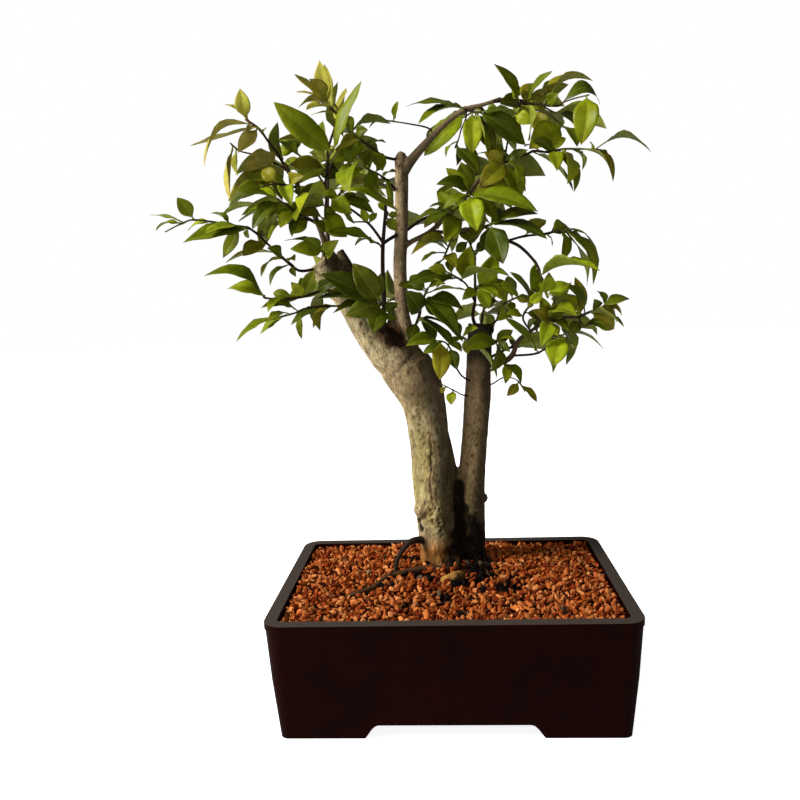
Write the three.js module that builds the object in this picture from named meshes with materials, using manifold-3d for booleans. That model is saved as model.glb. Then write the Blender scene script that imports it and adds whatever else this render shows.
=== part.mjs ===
// Jaboticaba bonsai in an unglazed stoneware pot. Millimetres, +Z up.
// The model is drawn round the middle of the pot's underside, and moved at the end so that the
// origin lies under the middle of the whole object, on the surface that it stands on.
// The pieces are the pot, two drain screens, the soil, the woody tree with its roots, and leafy
// stems. Each leafy stem holds the leaves that grow from it as one body.
import * as THREE from "three";
import { mergeVertices } from "three/addons/utils/BufferGeometryUtils.js";
import Module from "manifold-3d";

const wasm = await Module();
wasm.setup();

// Driving dimensions
const POT_WIDTH = 280;
const POT_DEPTH = 205;
const POT_HEIGHT = 92;
const POT_TAPER = 8.4; // how far the foot lies inside the rim, on each side
const POT_CORNER = 15; // plan radius of the rim's corners
const LEAST_CORNER = 4; // and of the corners furthest inside
const RIM_WIDTH = 10;
const RIM_BAND = 5.5; // height of the rim's upright face
const RIM_ROUND = 1.9; // how far the rim's edges are rounded
const NECK = 0.7; // how far the wall lies inside the rim, right under its band
const BELLY = 3.6; // how far it lies inside the rim at half its height
const WALL = 8;
const FLOOR_TOP = 17.5;
const INSIDE_DRAFT = 1; // how much thicker the wall is at the floor
const FOOT_HEIGHT = 11;
const FOOT_GAP_X = 67; // half the gap between the feet, along the front
const FOOT_GAP_Y = 48; // half the gap between the feet, along the ends
const FOOT_SLOPE = 7.5; // run of the sloping end of each gap
const DRAIN_RADIUS = 11;
const DRAIN_X = 62;
const SCREEN_SIZE = 42;
const SCREEN_THICKNESS = 1.2;
const SCREEN_HOLES = 3; // holes along one side of a screen
const SCREEN_OPEN = 0.6; // share of each mesh that is hole
const SOIL_EDGE = 85; // height of the soil along the pot's wall
const SOIL_CROWN = 11; // how much higher it is heaped round the trunks
const HEAP_REACH = [85, 62]; // how wide the heap is, along the front and from front to back
const HEAP_BACK = 20; // how far behind the pot's middle it stands
const GRANULE_PITCH = 10.4; // of the relief that stands for the baked clay granules
const GRANULE = 1.7; // how far that relief rises and falls
const GRANULE_SHIFT = 0.3; // and how far each point lies off its row, as a share of the pitch
const CLEARANCE = 0.3; // gap between pieces that touch
const WALL_GAP = 0.4; // and between the soil and the pot's sloping wall, measured level
const OBJECT_MIDDLE = [-31.5, 24]; // of the whole object seen from above, from the pot's middle
const MIDRIB = 1.5; // thickness of a leaf at the midrib, from where it thins to its edges
const SMALL_LEAF = 25; // shorter leaves have fewer faces
const LARGE_LEAF = 40; // and longer ones more, where the front sees them
const STALK_LENGTH = 2.6; // from the middle of the stem to where the blade starts
const STALK_HALF_WIDTH = 0.85;
const WIDTH_TO_LENGTH = 0.45; // of a leaf
const WIDEST_TO_LENGTH = 0.62; // of a leaf that looks wider than that
const LEAF_WIDTHS = [5, 21]; // narrowest and widest leaf
const BLADE_ROOM = 1.1; // free space kept round a blade
const NEAR_ROOM = 0.2; // and the least one to a leaf that grows from the same piece
const OWN_STEM_GAP = 1.2; // least distance of a blade's midrib from the bark of its own stem
const SPOT_PITCH = 3; // distance between the places on that stem where it is measured
const BLADE_STATIONS = [0.3, 0.45, 0.6, 0.75, 0.9, 1]; // where that distance is measured
const BLADE_FULLNESS = 0.85; // below 1 puts the widest part nearer to the foot
const BLADE_SECTIONS = [0.34, 0.7]; // where a blade's sections lie, from foot to tip
const SMALL_BLADE_SECTIONS = [0.46];
const LARGE_BLADE_SECTIONS = [0.22, 0.5, 0.78];
const ROOM_SECTIONS = [0.14, 0.34, 0.7];
const NEAR_SECTIONS = [0.3, 0.7];
const FACE_TILT = 0.2; // how far a leaf's face looks up
const CROWN_MIDDLE = -35; // leaves turn their faces outwards from this x
const LONGEST_STEP = 18; // of a limb's straight steps
const STEP_TO_RADIUS = 0.8; // longer steps on a thick limb
const HEADING_SPAN = 0.02; // share of a limb before and after a place, which sets its direction there
const GNARL = 0.035; // swellings of the thick limbs, as a share of their radius
const GNARLED_ABOVE = 9.5; // radius from which a limb has them

const STONEWARE = { color: 0x1c0f0b, roughness: 0.42, metalness: 0 };
const PLASTIC_MESH = { color: 0x2b2d2b, roughness: 0.6, metalness: 0 };
const BAKED_CLAY = { color: 0xa8582a, roughness: 0.9, metalness: 0 };
const BARK = { color: 0x84745a, roughness: 0.85, metalness: 0 };
const LEAF = { color: 0x566a12, roughness: 0.5, metalness: 0 };
const YOUNG_LEAF = { color: 0x8c8a24, roughness: 0.5, metalness: 0 };

// The camera that took the reference photograph, worked out from the pot's rim and feet: its place,
// its turns in degrees, and its focal length and picture middle in pixels
const CAMERA = { place: [1, -652, 330], pitch: 7.6, yaw: 3.4, roll: -2, focal: 800, middle: 400 };
const DEEPEN = 1.8; // the depths judged by eye are stretched by this much
const DEEPEST = 70;
const SEEN_STEPS = 200;

// The wood: the middle line of each limb, in mm, and its radius at each point
const LIMBS = {
  trunk: {
    route: [[-6, 30, 58], [-6, 29, 84], [-7.5, 28, 104], [-13, 28, 150], [-15, 27, 204],
      [-19.2, 26, 236], [-26, 25, 256], [-33, 25, 270], [-36, 24, 280]],
    radii: [26, 23, 18.3, 16.5, 17.4, 18.6, 21.8, 22, 14],
  },
  second_trunk: {
    route: [[13, 38, 58], [15, 37, 84], [17, 37, 110], [19, 36, 148], [24, 36, 201],
      [27, 36, 236], [29, 36, 262], [31, 35, 301]],
    radii: [18, 17, 14.5, 12.8, 10.8, 11.3, 10.8, 10.8],
  },
  collar: {
    route: [[3, 38, 60], [3, 40, 110], [4, 42, 148], [4, 40, 158]],
    radii: [20, 13, 9, 6.5],
  },
  flare: {
    route: [[3, 38, 138], [3, 38, 151], [1, 35, 172], [-1, 31, 201], [-4, 28, 226]],
    radii: [11, 10.2, 8, 4.5, 2],
  },
  left_limb: {
    route: [[-36, 25, 271], [-47, 25, 281.5], [-62.5, 23, 300], [-76, 20, 322], [-89, 17, 343],
      [-100, 14, 359]],
    radii: [20.5, 19, 13.8, 11.2, 12.3, 13.2],
  },
  crotch: {
    route: [[-39, 27, 268], [-42, 27, 280], [-42.5, 27, 289], [-42, 27, 301], [-43, 28, 316]],
    radii: [12, 10.5, 9.4, 6.6, 3.4],
  },
  leader: {
    route: [[-27, 24, 266], [-28, 24, 281], [-31, 23, 299], [-34, 22, 312], [-35, 22, 328],
      [-35, 20, 353], [-33, 19, 378], [-32, 17, 401], [-31, 16, 425], [-31, 16, 438],
      [-29, 15, 444]],
    radii: [9, 6.8, 5.2, 5.4, 5.6, 5.6, 5.6, 5.6, 5.6, 5.3, 1.8],
  },
  right_branch: {
    route: [[-30, 16, 427], [-22, 15, 437], [-7.5, 13, 451.5], [8, 10, 464.5], [22, 6, 472],
      [35, 3, 474], [49, 2, 478]],
    radii: [4.9, 4, 2.9, 2.3, 1.9, 1.6, 1.2],
  },
  long_branch: {
    route: [[-35, 19, 364], [-26, 17, 371], [-9, 13, 379], [9, 8, 394], [23, 4, 407],
      [32, 2, 417], [50, -4, 429]],
    radii: [2.8, 2.1, 1.9, 1.8, 1.8, 1.6, 1.4],
  },
  low_branch: {
    route: [[-9, 13, 379], [11, 8, 377], [23, 2, 379], [34, -2, 380], [52, -8, 368]],
    radii: [1.6, 1.5, 1.4, 1.3, 1.1],
  },
  left_stem: {
    route: [[-98, 14, 355], [-96, 12, 373], [-107, 8, 405], [-125, 2, 436]],
    radii: [3, 2.4, 2, 1.5],
  },
  crown_stem: {
    route: [[-94, 17, 352], [-94, 18, 379], [-93, 19, 408], [-91, 18, 434]],
    radii: [2.4, 1.9, 1.5, 1.3],
  },
  dark_twig: {
    route: [[-54, 22, 290], [-49, 8, 312], [-48, 1, 330], [-48, 0, 349], [-47, 0, 370],
      [-44, -2, 394], [-44, -2, 401]],
    radii: [2.4, 2.1, 1.9, 1.7, 1.6, 1.3, 1],
  },
  dark_link: {
    route: [[-47, 0, 370], [-42, 9, 374], [-34, 18, 379]],
    radii: [1.5, 1.4, 1.7],
  },
  dead_stub: {
    route: [[-74, 21, 322], [-72, 25, 338], [-79, 27, 354], [-86, 28, 367]],
    radii: [5, 4.6, 4.2, 3.6],
  },
  right_low_branch: {
    route: [[29, 36, 268], [47, 28, 269], [56, 20, 275], [61, 12, 288], [71, 6, 296],
      [81, 0, 303], [93, -4, 306], [106, -8, 306]],
    radii: [3.2, 2.8, 2.3, 1.8, 1.5, 1.4, 1.3, 1.2],
  },
  burl: { route: [[-15, 25, 147], [-24, 19, 143], [-27, 17, 142]], radii: [9.5, 7.2, 4.6] },
  knob: { route: [[22, 36, 151], [33.5, 34, 149.5]], radii: [7, 3.2] },
  arch_root: {
    route: [[-12, 23, 110], [-21, 18, 117], [-31, 10, 120], [-38, 6, 116], [-43, 4, 109],
      [-46, 3, 101], [-48, 2, 84]],
    radii: [4.8, 4.3, 3.3, 2.6, 2.4, 2.3, 2.1],
  },
  surface_root: {
    route: [[-6, 18, 86], [2, 12, 91], [-3, 5, 95], [-17, 2, 98], [-33, 0, 97], [-43, -3, 94.5],
      [-53, -8, 92], [-65, -16, 88], [-82, -24, 80]],
    radii: [5, 4, 2.9, 2.4, 2.3, 2.1, 1.9, 1.7, 1.5],
  },
  knuckle_root: {
    route: [[10, 12, 82], [8, -6, 93], [-2, -15, 93], [-10, -20, 84]],
    radii: [6, 5.5, 5.5, 4],
  },
  right_root: {
    route: [[18, 28, 86], [30, 14, 92], [40, 2, 86], [48, -8, 76]],
    radii: [8, 6, 5, 3.5],
  },
  deep_root_left: {
    route: [[-8, 32, 70], [-40, 36, 66], [-70, 32, 58], [-94, 24, 50]],
    radii: [6.3, 5, 3.5, 2.2],
  },
  deep_root_right: {
    route: [[14, 38, 70], [48, 36, 64], [78, 24, 56], [102, 8, 48]],
    radii: [6.3, 5, 3.5, 2.2],
  },
  deep_root_back: {
    route: [[0, 40, 72], [8, 62, 64], [2, 78, 54]],
    radii: [6.3, 4, 2.4],
  },
  deep_root_front: {
    route: [[-2, 18, 68], [-12, -20, 60], [6, -52, 52], [-6, -74, 44]],
    radii: [6.3, 5, 3.5, 2.2],
  },
};

// Leafy stems in front, read by hand from the photograph in its 800 by 800 pixel frame. A route is
// the stem's course as [u, v, depth in mm]; each leaf is
// [foot u, foot v, tip u, tip v, tip's depth in mm, width seen in pixels, bow if unusual].
const STEMS = [
  {
    name: "branch_diagonal", parent: "dark_twig", radii: [1.4, 0.9], deepen: 1,
    route: [
      [383, 243, 0], [370, 225, -2], [352, 210, -4], [333, 199, -6],
    ],
    leaves: [],
  },
  {
    name: "branch_upright", parent: "second_trunk", radii: [2.0, 1.1], deepen: 1,
    route: [
      [477, 335, 35], [473, 318, 32], [475, 300, 28], [475, 275, 24], [475, 257, 20],
    ],
    leaves: [],
  },
  {
    name: "shoot_top_left", parent: "left_stem", radii: [1.4, 0.8],
    route: [
      [285, 167, 2], [277, 153, 0], [268, 141, -3], [259, 129, -6], [245, 119, -9],
    ],
    leaves: [
      [245, 119, 240, 88.5, -14, 16, 0.12], [247, 120, 224.5, 104.5, -4, 8, 0.04],
      [248, 122, 204, 167, -26, 15, 0.16], [250, 123, 190, 146, -6, 9, -0.02],
      [251, 125, 238, 153, -16, 15, 0.04], [255, 126, 246, 133, -14, 9],
      [276, 152, 242, 171, -10, 24, 0.04], [258, 129, 266, 129, -4, 3],
    ],
  },
  {
    name: "shoot_left_hanging", parent: "left_stem", radii: [1.0, 0.6],
    route: [
      [288, 172, 3], [275, 163, 0], [255, 155, -4], [240, 151, -7], [230, 143, -10],
    ],
    leaves: [
      [233, 145, 230, 199, -22, 16, 0.02], [236, 149, 238, 176, -2, 6, 0.03],
      [277, 163, 228, 201, -16, 27, 0.03], [285, 168, 254, 184, -26, 18],
    ],
  },
  {
    name: "spray_crown_top", parent: "crown_stem", radii: [1.4, 0.8],
    route: [
      [328, 168, 18], [328, 150, 16], [334, 130, 13], [338, 117, 10], [329, 106, 7], [326, 102, 6],
    ],
    leaves: [
      [326, 102, 319.5, 60, -2, 13, -0.02], [330, 107, 324, 64, 8, 16, -0.08],
      [338, 116, 330, 80, 14, 13, -0.04], [326, 101, 294, 74, -6, 13, 0],
      [326, 102, 309, 79, -10, 13, 0], [326, 102, 296, 92, -12, 10, 0.04],
      [327, 103, 298, 108, 0, 5], [327, 104, 306, 110, -16, 15, 0.04],
      [331, 108, 311, 115, 10, 7, 0.04], [336, 124, 346, 88, 28, 16, -0.04],
    ],
  },
  {
    name: "spray_crown_left", parent: "crown_stem", radii: [1.4, 0.9],
    route: [
      [328, 178, 18], [327, 168, 6], [329, 156, -6], [333, 150, -12],
    ],
    leaves: [
      [333, 151, 273.5, 102, -24, 29, 0.04], [335, 150, 361.5, 81, -18, 20, -0.06],
      [328, 164, 278, 140, -26, 12], [331, 154, 323, 121, 12, 16],
      [327, 171, 290, 164, -2, 19, 0.05], [327, 170, 296, 186, -20, 16],
      [327, 174, 258, 181, -8, 13, 0.05], [327, 172, 304, 168, 10, 12],
    ],
  },
  {
    name: "twig_crown_front", parent: "spray_crown_left", radii: [1.1, 0.8],
    route: [
      [327.5, 172, 8], [325, 184, 3], [326, 198, 2], [325, 212, 3], [326, 226, 5],
    ],
    leaves: [
      [326, 187, 297, 199, -14, 17, 0.04], [326, 187, 338, 198, -8, 13],
      [326, 190, 398, 211, -18, 17, 0.08], [325, 213, 347, 237, -10, 22, 0.04],
      [325, 206, 296, 221, -12, 16], [326, 224, 301, 217, -6, 10], [326, 218, 336, 206, -2, 14],
    ],
  },
  {
    name: "spray_crown_back", parent: "crown_stem", radii: [1.3, 0.8],
    route: [
      [328, 190, 18], [318, 175, 30], [305, 160, 38], [292, 150, 44],
    ],
    leaves: [
      [300, 156, 280, 138, 50, 14], [306, 162, 282, 168, 30, 14], [296, 153, 297, 133, 54, 12],
      [310, 167, 330, 150, 46, 16], [296, 153, 277, 150, 48, 14], [313, 171, 340, 176, 40, 18],
    ],
  },
  {
    name: "spray_leader_left", parent: "leader", radii: [1.5, 0.8],
    route: [
      [400, 160, 16], [385, 157, 11], [372, 148, 6], [358, 138, 2], [354, 134, 0],
    ],
    leaves: [
      [356, 135, 368, 130, -10, 13], [371, 147, 386, 143, -4, 5],
      [374, 150, 383, 171, -8, 16, -0.05], [358, 138, 349, 166, -6, 19],
      [366, 144, 378, 160, 18, 15], [354, 134, 342, 118, 10, 13],
      [368, 149, 332, 163, -12, 17, 0.04], [363, 144, 338, 150, 2, 15], [370, 150, 354, 174, 4, 15],
    ],
  },
  {
    name: "twig_leader_left", parent: "leader", radii: [1.2, 0.7],
    route: [
      [398, 195, 17], [384, 178, 10], [372, 171, 5], [362, 166, 1],
    ],
    leaves: [
      [363, 166, 336, 184, -12, 18], [384, 178, 397, 172, -4, 8],
      [384, 181, 393, 207, -8, 10, -0.08], [368, 170, 377, 193, -6, 20, -0.04],
      [376, 173, 386, 160, 14, 9], [365, 168, 350, 193, -16, 18],
    ],
  },
  {
    name: "spray_diagonal", parent: "branch_diagonal", radii: [1.0, 0.7],
    route: [
      [345, 206, -5], [333, 199, -8], [326, 196, -12],
    ],
    leaves: [
      [345, 206, 356, 193, -12, 15], [330, 198, 352, 214, -20, 20], [343, 205, 374, 213, 2, 16],
      [327, 197, 300, 212, -26, 16], [340, 203, 330, 182, 4, 14],
    ],
  },
  {
    name: "twig_diagonal_side", parent: "branch_diagonal", radii: [0.9, 0.7],
    route: [
      [370, 225, -2], [366, 222, -5], [352, 222, -8],
    ],
    leaves: [
      [368, 223, 361, 208, -10, 9], [369, 223, 377, 213, 2, 7],
    ],
  },
  {
    name: "spray_dark_twig_side", parent: "dark_twig", radii: [1.0, 0.7],
    route: [
      [383, 250, 0], [379, 244, -6], [374, 242, -9],
    ],
    leaves: [
      [378, 243, 328, 232, -16, 18, 0], [375, 242, 355, 246, -22, 5],
    ],
  },
  {
    name: "spray_dark_twig_top", parent: "dark_twig", radii: [0.9, 0.7],
    route: [
      [384, 224, -1], [386, 218, 1], [388, 212, 2],
    ],
    leaves: [
      [388, 213, 398, 215, 2, 12], [387, 212, 378, 203, 4, 13], [388, 215, 397, 231, 0, 14],
    ],
  },
  {
    name: "spray_left_stem_low", parent: "left_stem", radii: [1.3, 0.8],
    route: [
      [316, 222, 10], [305, 218, -4], [290, 208, -14], [276, 198, -22],
    ],
    leaves: [
      [278, 199, 252, 229, -30, 19, 0.03], [284, 203, 238, 222, -42, 8, 0.03],
      [276, 198, 228, 206, -26, 9], [278, 199, 229, 210, -8, 4], [286, 205, 267, 222, -12, 15],
      [300, 214, 267, 240, -18, 12, 0.06], [303, 217, 292, 237, -30, 12],
      [305, 218, 288, 205, 6, 20], [296, 211, 313, 228, -34, 15], [299, 213, 272, 208, -2, 17],
      [310, 220, 290, 234, -4, 15], [312, 221, 332, 231, -12, 13], [308, 219, 298, 201, 0, 15],
      [292, 209, 280, 228, -20, 15],
    ],
  },
  {
    name: "spray_left_stem_mid", parent: "left_stem", radii: [1.2, 0.8],
    route: [
      [299, 188, 6], [290, 186, -8], [275, 184, -18], [262, 187, -26],
    ],
    leaves: [
      [264, 187, 236, 190, -38, 15], [272, 185, 262, 205, -44, 14], [280, 184, 262, 170, -10, 18],
      [266, 186, 250, 200, -20, 9], [290, 186, 304, 176, -26, 15], [286, 185, 292, 206, -30, 16],
      [265, 187, 231, 202, -30, 9, 0.03], [289, 186, 247, 177, -4, 17, 0.03],
      [295, 188, 309, 200, -20, 15],
    ],
  },
  {
    name: "twig_left_reach", parent: "left_limb", radii: [1.5, 0.6], deepen: 1.35,
    route: [
      [318, 272, 14], [302, 271, 0], [290, 264, -6], [273, 249, -14], [252, 230, -20],
      [237, 226, -24], [197, 220, -30], [183, 223, -33], [165, 232, -36],
    ],
    leaves: [
      [196, 219, 177, 197.5, -42, 15, -0.1], [183, 223, 149, 215, -46, 6, 0.03],
      [183, 223, 156, 231, -24, 9], [250, 229, 183, 243, -50, 18, 0.06],
      [238, 226, 205, 234, -38, 14, 0], [236, 226, 223, 258, -28, 14, -0.08],
      [228, 225, 211, 213, -18, 5, 0.03], [215, 223, 188, 231, -20, 9],
      [263, 240, 243, 256, -34, 18, 0.02], [256, 233, 264, 240, -8, 9],
      [248, 229, 248, 238, -14, 7], [276, 252, 225, 263, -42, 6, 0.06],
      [283, 258, 261, 277, -28, 9], [290, 265, 270, 286, -14, 8, 0.15],
      [287, 262, 295, 261, -22, 6], [282, 257, 267, 248, -18, 12], [292, 265, 296, 277, -10, 7],
    ],
  },
  {
    name: "spray_stub_top", parent: "left_limb", radii: [1.2, 0.9],
    route: [
      [328, 266, 15], [326, 258, -2], [322, 251, -12],
    ],
    leaves: [
      [323, 252, 290, 249, -28, 17, 0.12], [326, 257, 339, 240, -22, 16],
      [322, 250, 302, 238, -18, 12], [324, 254, 284, 241, -6, 4],
    ],
  },
  {
    name: "twig_left_low", parent: "left_limb", radii: [1.3, 0.7],
    route: [
      [342, 292, 16], [322, 291, 0], [306, 296, -10], [285, 299, -18], [266, 298, -24],
      [264, 295, -25],
    ],
    leaves: [
      [265, 296, 204, 276, -38, 14, 0.16], [266, 297, 227, 289, -20, 10],
      [304, 295, 315, 270, -26, 15, -0.04], [294, 298, 273, 293, -12, 11],
      [286, 299, 268, 312, -30, 10], [312, 294, 296, 284, -2, 12], [318, 292, 338, 281, -14, 13],
      [303, 296, 283, 301, -16, 8, 0.04], [304, 295, 291, 282, -22, 12],
      [312, 293, 300, 278, -4, 12],
    ],
  },
  {
    name: "twig_left_lowest", parent: "left_limb", radii: [1.2, 0.7],
    route: [
      [352, 309, 17], [332, 306, 2], [308, 308, -8], [295, 313, -14], [280, 317, -20],
    ],
    leaves: [
      [281, 317, 236, 342, -34, 11, 0.08], [285, 316, 260, 334, -12, 9, 0.04],
      [303, 310, 302, 339, -20, 10, 0.04], [298, 311, 261, 308, -28, 10, 0.1],
      [344, 309, 313, 328, -22, 14, 0.14], [322, 307, 291, 325, -10, 12, 0.06],
      [290, 314, 268, 321, -26, 11, 0.04],
    ],
  },
  {
    name: "spray_dark_twig_left", parent: "dark_twig", radii: [1.3, 0.9],
    route: [
      [384, 318, 8], [383, 306, -8], [378, 299, -14],
    ],
    leaves: [
      [381, 303, 320, 274, -30, 24, 0.04], [380, 302, 306, 289, -16, 12, 0.03],
      [379, 300, 353, 263, -8, 26, 0.14], [382, 306, 345, 316, -30, 22],
      [379, 300, 381, 273, -20, 12, -0.04], [382, 307, 373, 333, -26, 26, 0],
      [380, 303, 316, 299, -20, 14, 0.04], [381, 304, 333, 313, -24, 13, 0.04],
      [384, 312, 398, 303, -2, 11], [384, 314, 397, 319, 4, 10],
    ],
  },
  {
    name: "twig_right_back", parent: "right_branch", radii: [1.0, 0.6],
    route: [
      [433, 134, 13], [428, 128, 14], [410, 124, 12], [387, 120.5, 9],
    ],
    leaves: [
      [391, 121, 398, 101, 2, 8, -0.05], [387, 120.5, 369, 128, 8, 6, 0.12],
    ],
  },
  {
    name: "spray_elbow_front", parent: "right_branch", radii: [1.2, 0.9],
    route: [
      [466, 110, 7], [465, 109, -6],
    ],
    leaves: [
      [465, 109, 406, 106.5, -10, 8, 0.1], [465, 110, 418, 124, -22, 18, 0.1],
    ],
  },
  {
    name: "spray_elbow_back", parent: "right_branch", radii: [1.2, 0.8],
    route: [
      [474, 107, 5], [472, 112, 16], [464, 117, 22],
    ],
    leaves: [
      [464, 117, 424, 156, 26, 25, 0.02], [465, 116, 427, 142, 42, 15],
    ],
  },
  {
    name: "twig_elbow_hanging", parent: "spray_elbow_front", radii: [0.9, 0.6],
    route: [
      [465.5, 109.5, 1], [466, 118, 3], [461, 130, 3], [459, 138, 1], [455, 148, -3],
    ],
    leaves: [
      [454, 149, 446, 157, -6, 3], [455, 150, 456.5, 166, 0, 4],
      [455, 149, 479, 173, -16, 16, 0.08],
    ],
  },
  {
    name: "twig_elbow_right", parent: "spray_elbow_front", radii: [1.1, 0.8],
    route: [
      [465, 109, -6], [474, 112, -9], [482, 112, -11],
    ],
    leaves: [
      [480, 112, 488, 154, -26, 14, -0.03], [482, 112, 495, 151, -10, 20, -0.04],
      [474, 112, 472, 154, -14, 20, 0.04], [482, 112, 525.5, 145, -2, 25, 0.04],
      [482, 111, 505, 110, -16, 8, 0.04],
    ],
  },
  {
    name: "spray_top_right", parent: "right_branch", radii: [1.4, 0.6],
    route: [
      [492, 101, 3], [505, 99, 1], [520, 103, -2], [535, 104, -5], [557, 106, -10], [564, 102, -14],
      [576, 98, -20], [589, 95, -26],
    ],
    leaves: [
      [519, 102, 494, 64, -12, 12, 0], [524, 103, 552.5, 71, -16, 14, 0],
      [518, 102, 500, 104, -22, 17, 0], [524, 104, 528, 141, -26, 6, 0],
      [543, 105, 593, 81, 2, 16, 0.17], [546, 105, 559, 93, -20, 15],
      [560, 104, 600, 105, -4, 15, 0.4], [588, 96, 581, 145, -30, 26, 0.1],
      [512, 100, 517, 85, 16, 12], [530, 104, 543, 92, 6, 11], [521, 103, 535, 83, 12, 12],
    ],
  },
  {
    name: "spray_right_inner", parent: "spray_top_right", radii: [1.0, 0.7],
    route: [
      [502, 99.5, 1], [516, 105, 10], [532, 109, 12], [548, 114, 4], [565, 128, -4],
    ],
    leaves: [
      [550, 116, 577, 131, -14, 8, 0.15], [565, 128, 529, 149, -18, 27, 0.04],
      [565, 128, 577, 147, -18, 13], [563, 127, 551, 147, 4, 13], [520, 106, 549, 119, 22, 16],
      [535, 110, 548, 137, 10, 19], [528, 108, 519, 124, 6, 12],
    ],
  },
  {
    name: "spray_right_reach", parent: "long_branch", radii: [1.3, 0.6],
    route: [
      [500, 164, -3], [525, 155, -8], [534, 151, -10], [548, 152, -12], [565, 149, -15],
      [583, 149, -18], [602, 150, -22],
    ],
    leaves: [
      [601, 150, 651, 152, -26, 14, 0.2], [599, 150, 590, 143, -30, 6],
      [603, 150, 609, 160, -16, 3], [583, 150, 613, 182, -32, 12, 0.12],
      [577, 150, 583, 163, -10, 5], [570, 150, 582, 170, -2, 6], [564, 150, 574, 192, -28, 9, 0],
      [552, 152, 557, 171, -32, 15], [532, 152, 573, 191, -24, 13, 0.08],
      [548, 152, 566, 138, 6, 12], [540, 152, 524, 147, 2, 9], [560, 151, 567, 184, -20, 11],
      [556, 152, 571, 168, -12, 12], [553, 152, 533, 140, 2, 14],
    ],
  },
  {
    name: "twig_right_upright", parent: "spray_right_reach", radii: [0.9, 0.7],
    route: [
      [503, 162, -4], [507, 145, -3], [511, 125, -2], [516, 112, -1],
    ],
    leaves: [
      [505, 156, 494, 146.5, -16, 9], [514, 116, 533, 124, -10, 14], [506, 150, 491, 154, -10, 8],
    ],
  },
  {
    name: "spray_right_reach_base", parent: "spray_right_reach", radii: [1.2, 0.9],
    route: [
      [503, 163, -4], [508, 165, -14],
    ],
    leaves: [
      [508, 165, 517, 183, -26, 8, 0.3], [507, 165, 521.5, 197, -10, 20, -0.04],
      [508, 165, 528, 150, -22, 10], [506, 165, 479, 188, -24, 24], [505, 165, 484, 152, -20, 16],
      [506, 164, 471, 156, -28, 10],
    ],
  },
  {
    name: "spray_knee", parent: "long_branch", radii: [1.3, 1.0],
    route: [
      [470, 192, 4], [470, 195, -12],
    ],
    leaves: [
      [470, 195, 538, 212, -38, 24, 0.1], [469, 194, 436, 184.5, -26, 17],
      [469, 193, 461, 162, -14, 25, 0.04], [469, 196, 477, 231, -26, 25, 0.04],
      [470, 194, 498, 222, -8, 15], [469, 195, 443, 209, -8, 13], [470, 193, 516, 191, -4, 20],
      [469, 193, 446, 168, -4, 18],
    ],
  },
  {
    name: "spray_knee_left", parent: "long_branch", radii: [1.2, 0.9],
    route: [
      [452, 211, 8], [451, 213, -8],
    ],
    leaves: [
      [450, 212, 429, 207, -14, 8], [450, 213, 408, 224, -8, 9, 0.04],
      [450, 214, 424, 228, -28, 18], [451, 214, 446, 243, -30, 22, 0.04],
      [451, 212, 438, 191, 4, 12], [452, 212, 472, 206, -24, 12], [451, 213, 458, 236, -14, 14],
    ],
  },
  {
    name: "spray_low_right_end", parent: "low_branch", radii: [1.2, 0.7],
    route: [
      [508, 241, -8], [525, 236, -12], [545, 234, -16], [560, 230, -20], [567, 231, -22],
    ],
    leaves: [
      [546, 234, 562, 222, -6, 12], [563, 230, 596, 251, -30, 9, 0.2],
      [565, 231, 562, 261, -28, 14, 0.03], [567, 231, 593, 285, -24, 17, 0.14],
      [566, 231, 587, 286, -6, 13, 0.06], [545, 235, 552, 246, -22, 3], [525, 236, 546, 220, 4, 13],
      [545, 234, 573, 232, -10, 15], [567, 231, 588, 258, -12, 16, 0.1],
    ],
  },
  {
    name: "spray_low_right_dark", parent: "low_branch", radii: [1.2, 0.9],
    route: [
      [484, 226, -2], [492, 224, -14],
    ],
    leaves: [
      [492, 224, 547, 239, -34, 22, 0.1], [492, 225, 503, 264, -24, 26, -0.03],
      [488, 225, 490, 254, -8, 22, 0.03], [490, 224, 505, 212, -26, 16],
      [486, 226, 470, 240, -18, 10], [492, 224, 538, 214, 4, 14, 0.04],
    ],
  },
  {
    name: "twig_curved_stem", parent: "spray_low_right_end", radii: [1.6, 0.9],
    route: [
      [505, 239, -7], [519, 246, -12], [530, 256, -14], [538, 267, -16], [542, 282, -18],
      [548, 298, -20],
    ],
    leaves: [
      [535, 262, 530, 291, -26, 8, 0.04], [539, 270, 536, 293, -4, 15],
      [541, 276, 600, 271, -24, 13, 0.1], [548, 297, 549, 272, -38, 17],
      [542, 283, 560, 292, -32, 16], [547, 296, 530, 303, -10, 11], [548, 298, 570, 284, -22, 15],
    ],
  },
  {
    name: "twig_hanging_pair", parent: "low_branch", radii: [0.9, 0.6],
    route: [
      [455, 232, 8], [450, 243, 4], [443, 260, 0],
    ],
    leaves: [
      [443, 260, 421, 262, -8, 8, 0.04], [442, 259, 411, 255, -14, 9, 0.2],
      [444, 257, 430, 243, -2, 4], [443, 260, 457, 269, -16, 12], [443, 260, 434, 276, 6, 4],
      [447, 250, 416, 244, 4, 11], [446, 252, 455, 244, -12, 7],
    ],
  },
  {
    name: "spray_upright_top", parent: "branch_upright", radii: [0.9, 0.6],
    route: [
      [475, 262, 21], [475, 256, 18], [471, 246, 12], [468, 240, 8],
    ],
    leaves: [
      [471, 246, 478, 238, 0, 5], [469, 241, 456, 252, 12, 10], [475, 258, 481, 250, 8, 4],
      [474, 254, 488, 244, 30, 12], [470, 244, 462, 228, 22, 12],
    ],
  },
  {
    name: "spray_upright_bright", parent: "branch_upright", radii: [1.1, 0.8],
    route: [
      [475, 298, 27], [476, 292, 14], [478, 286, 6],
    ],
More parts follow.
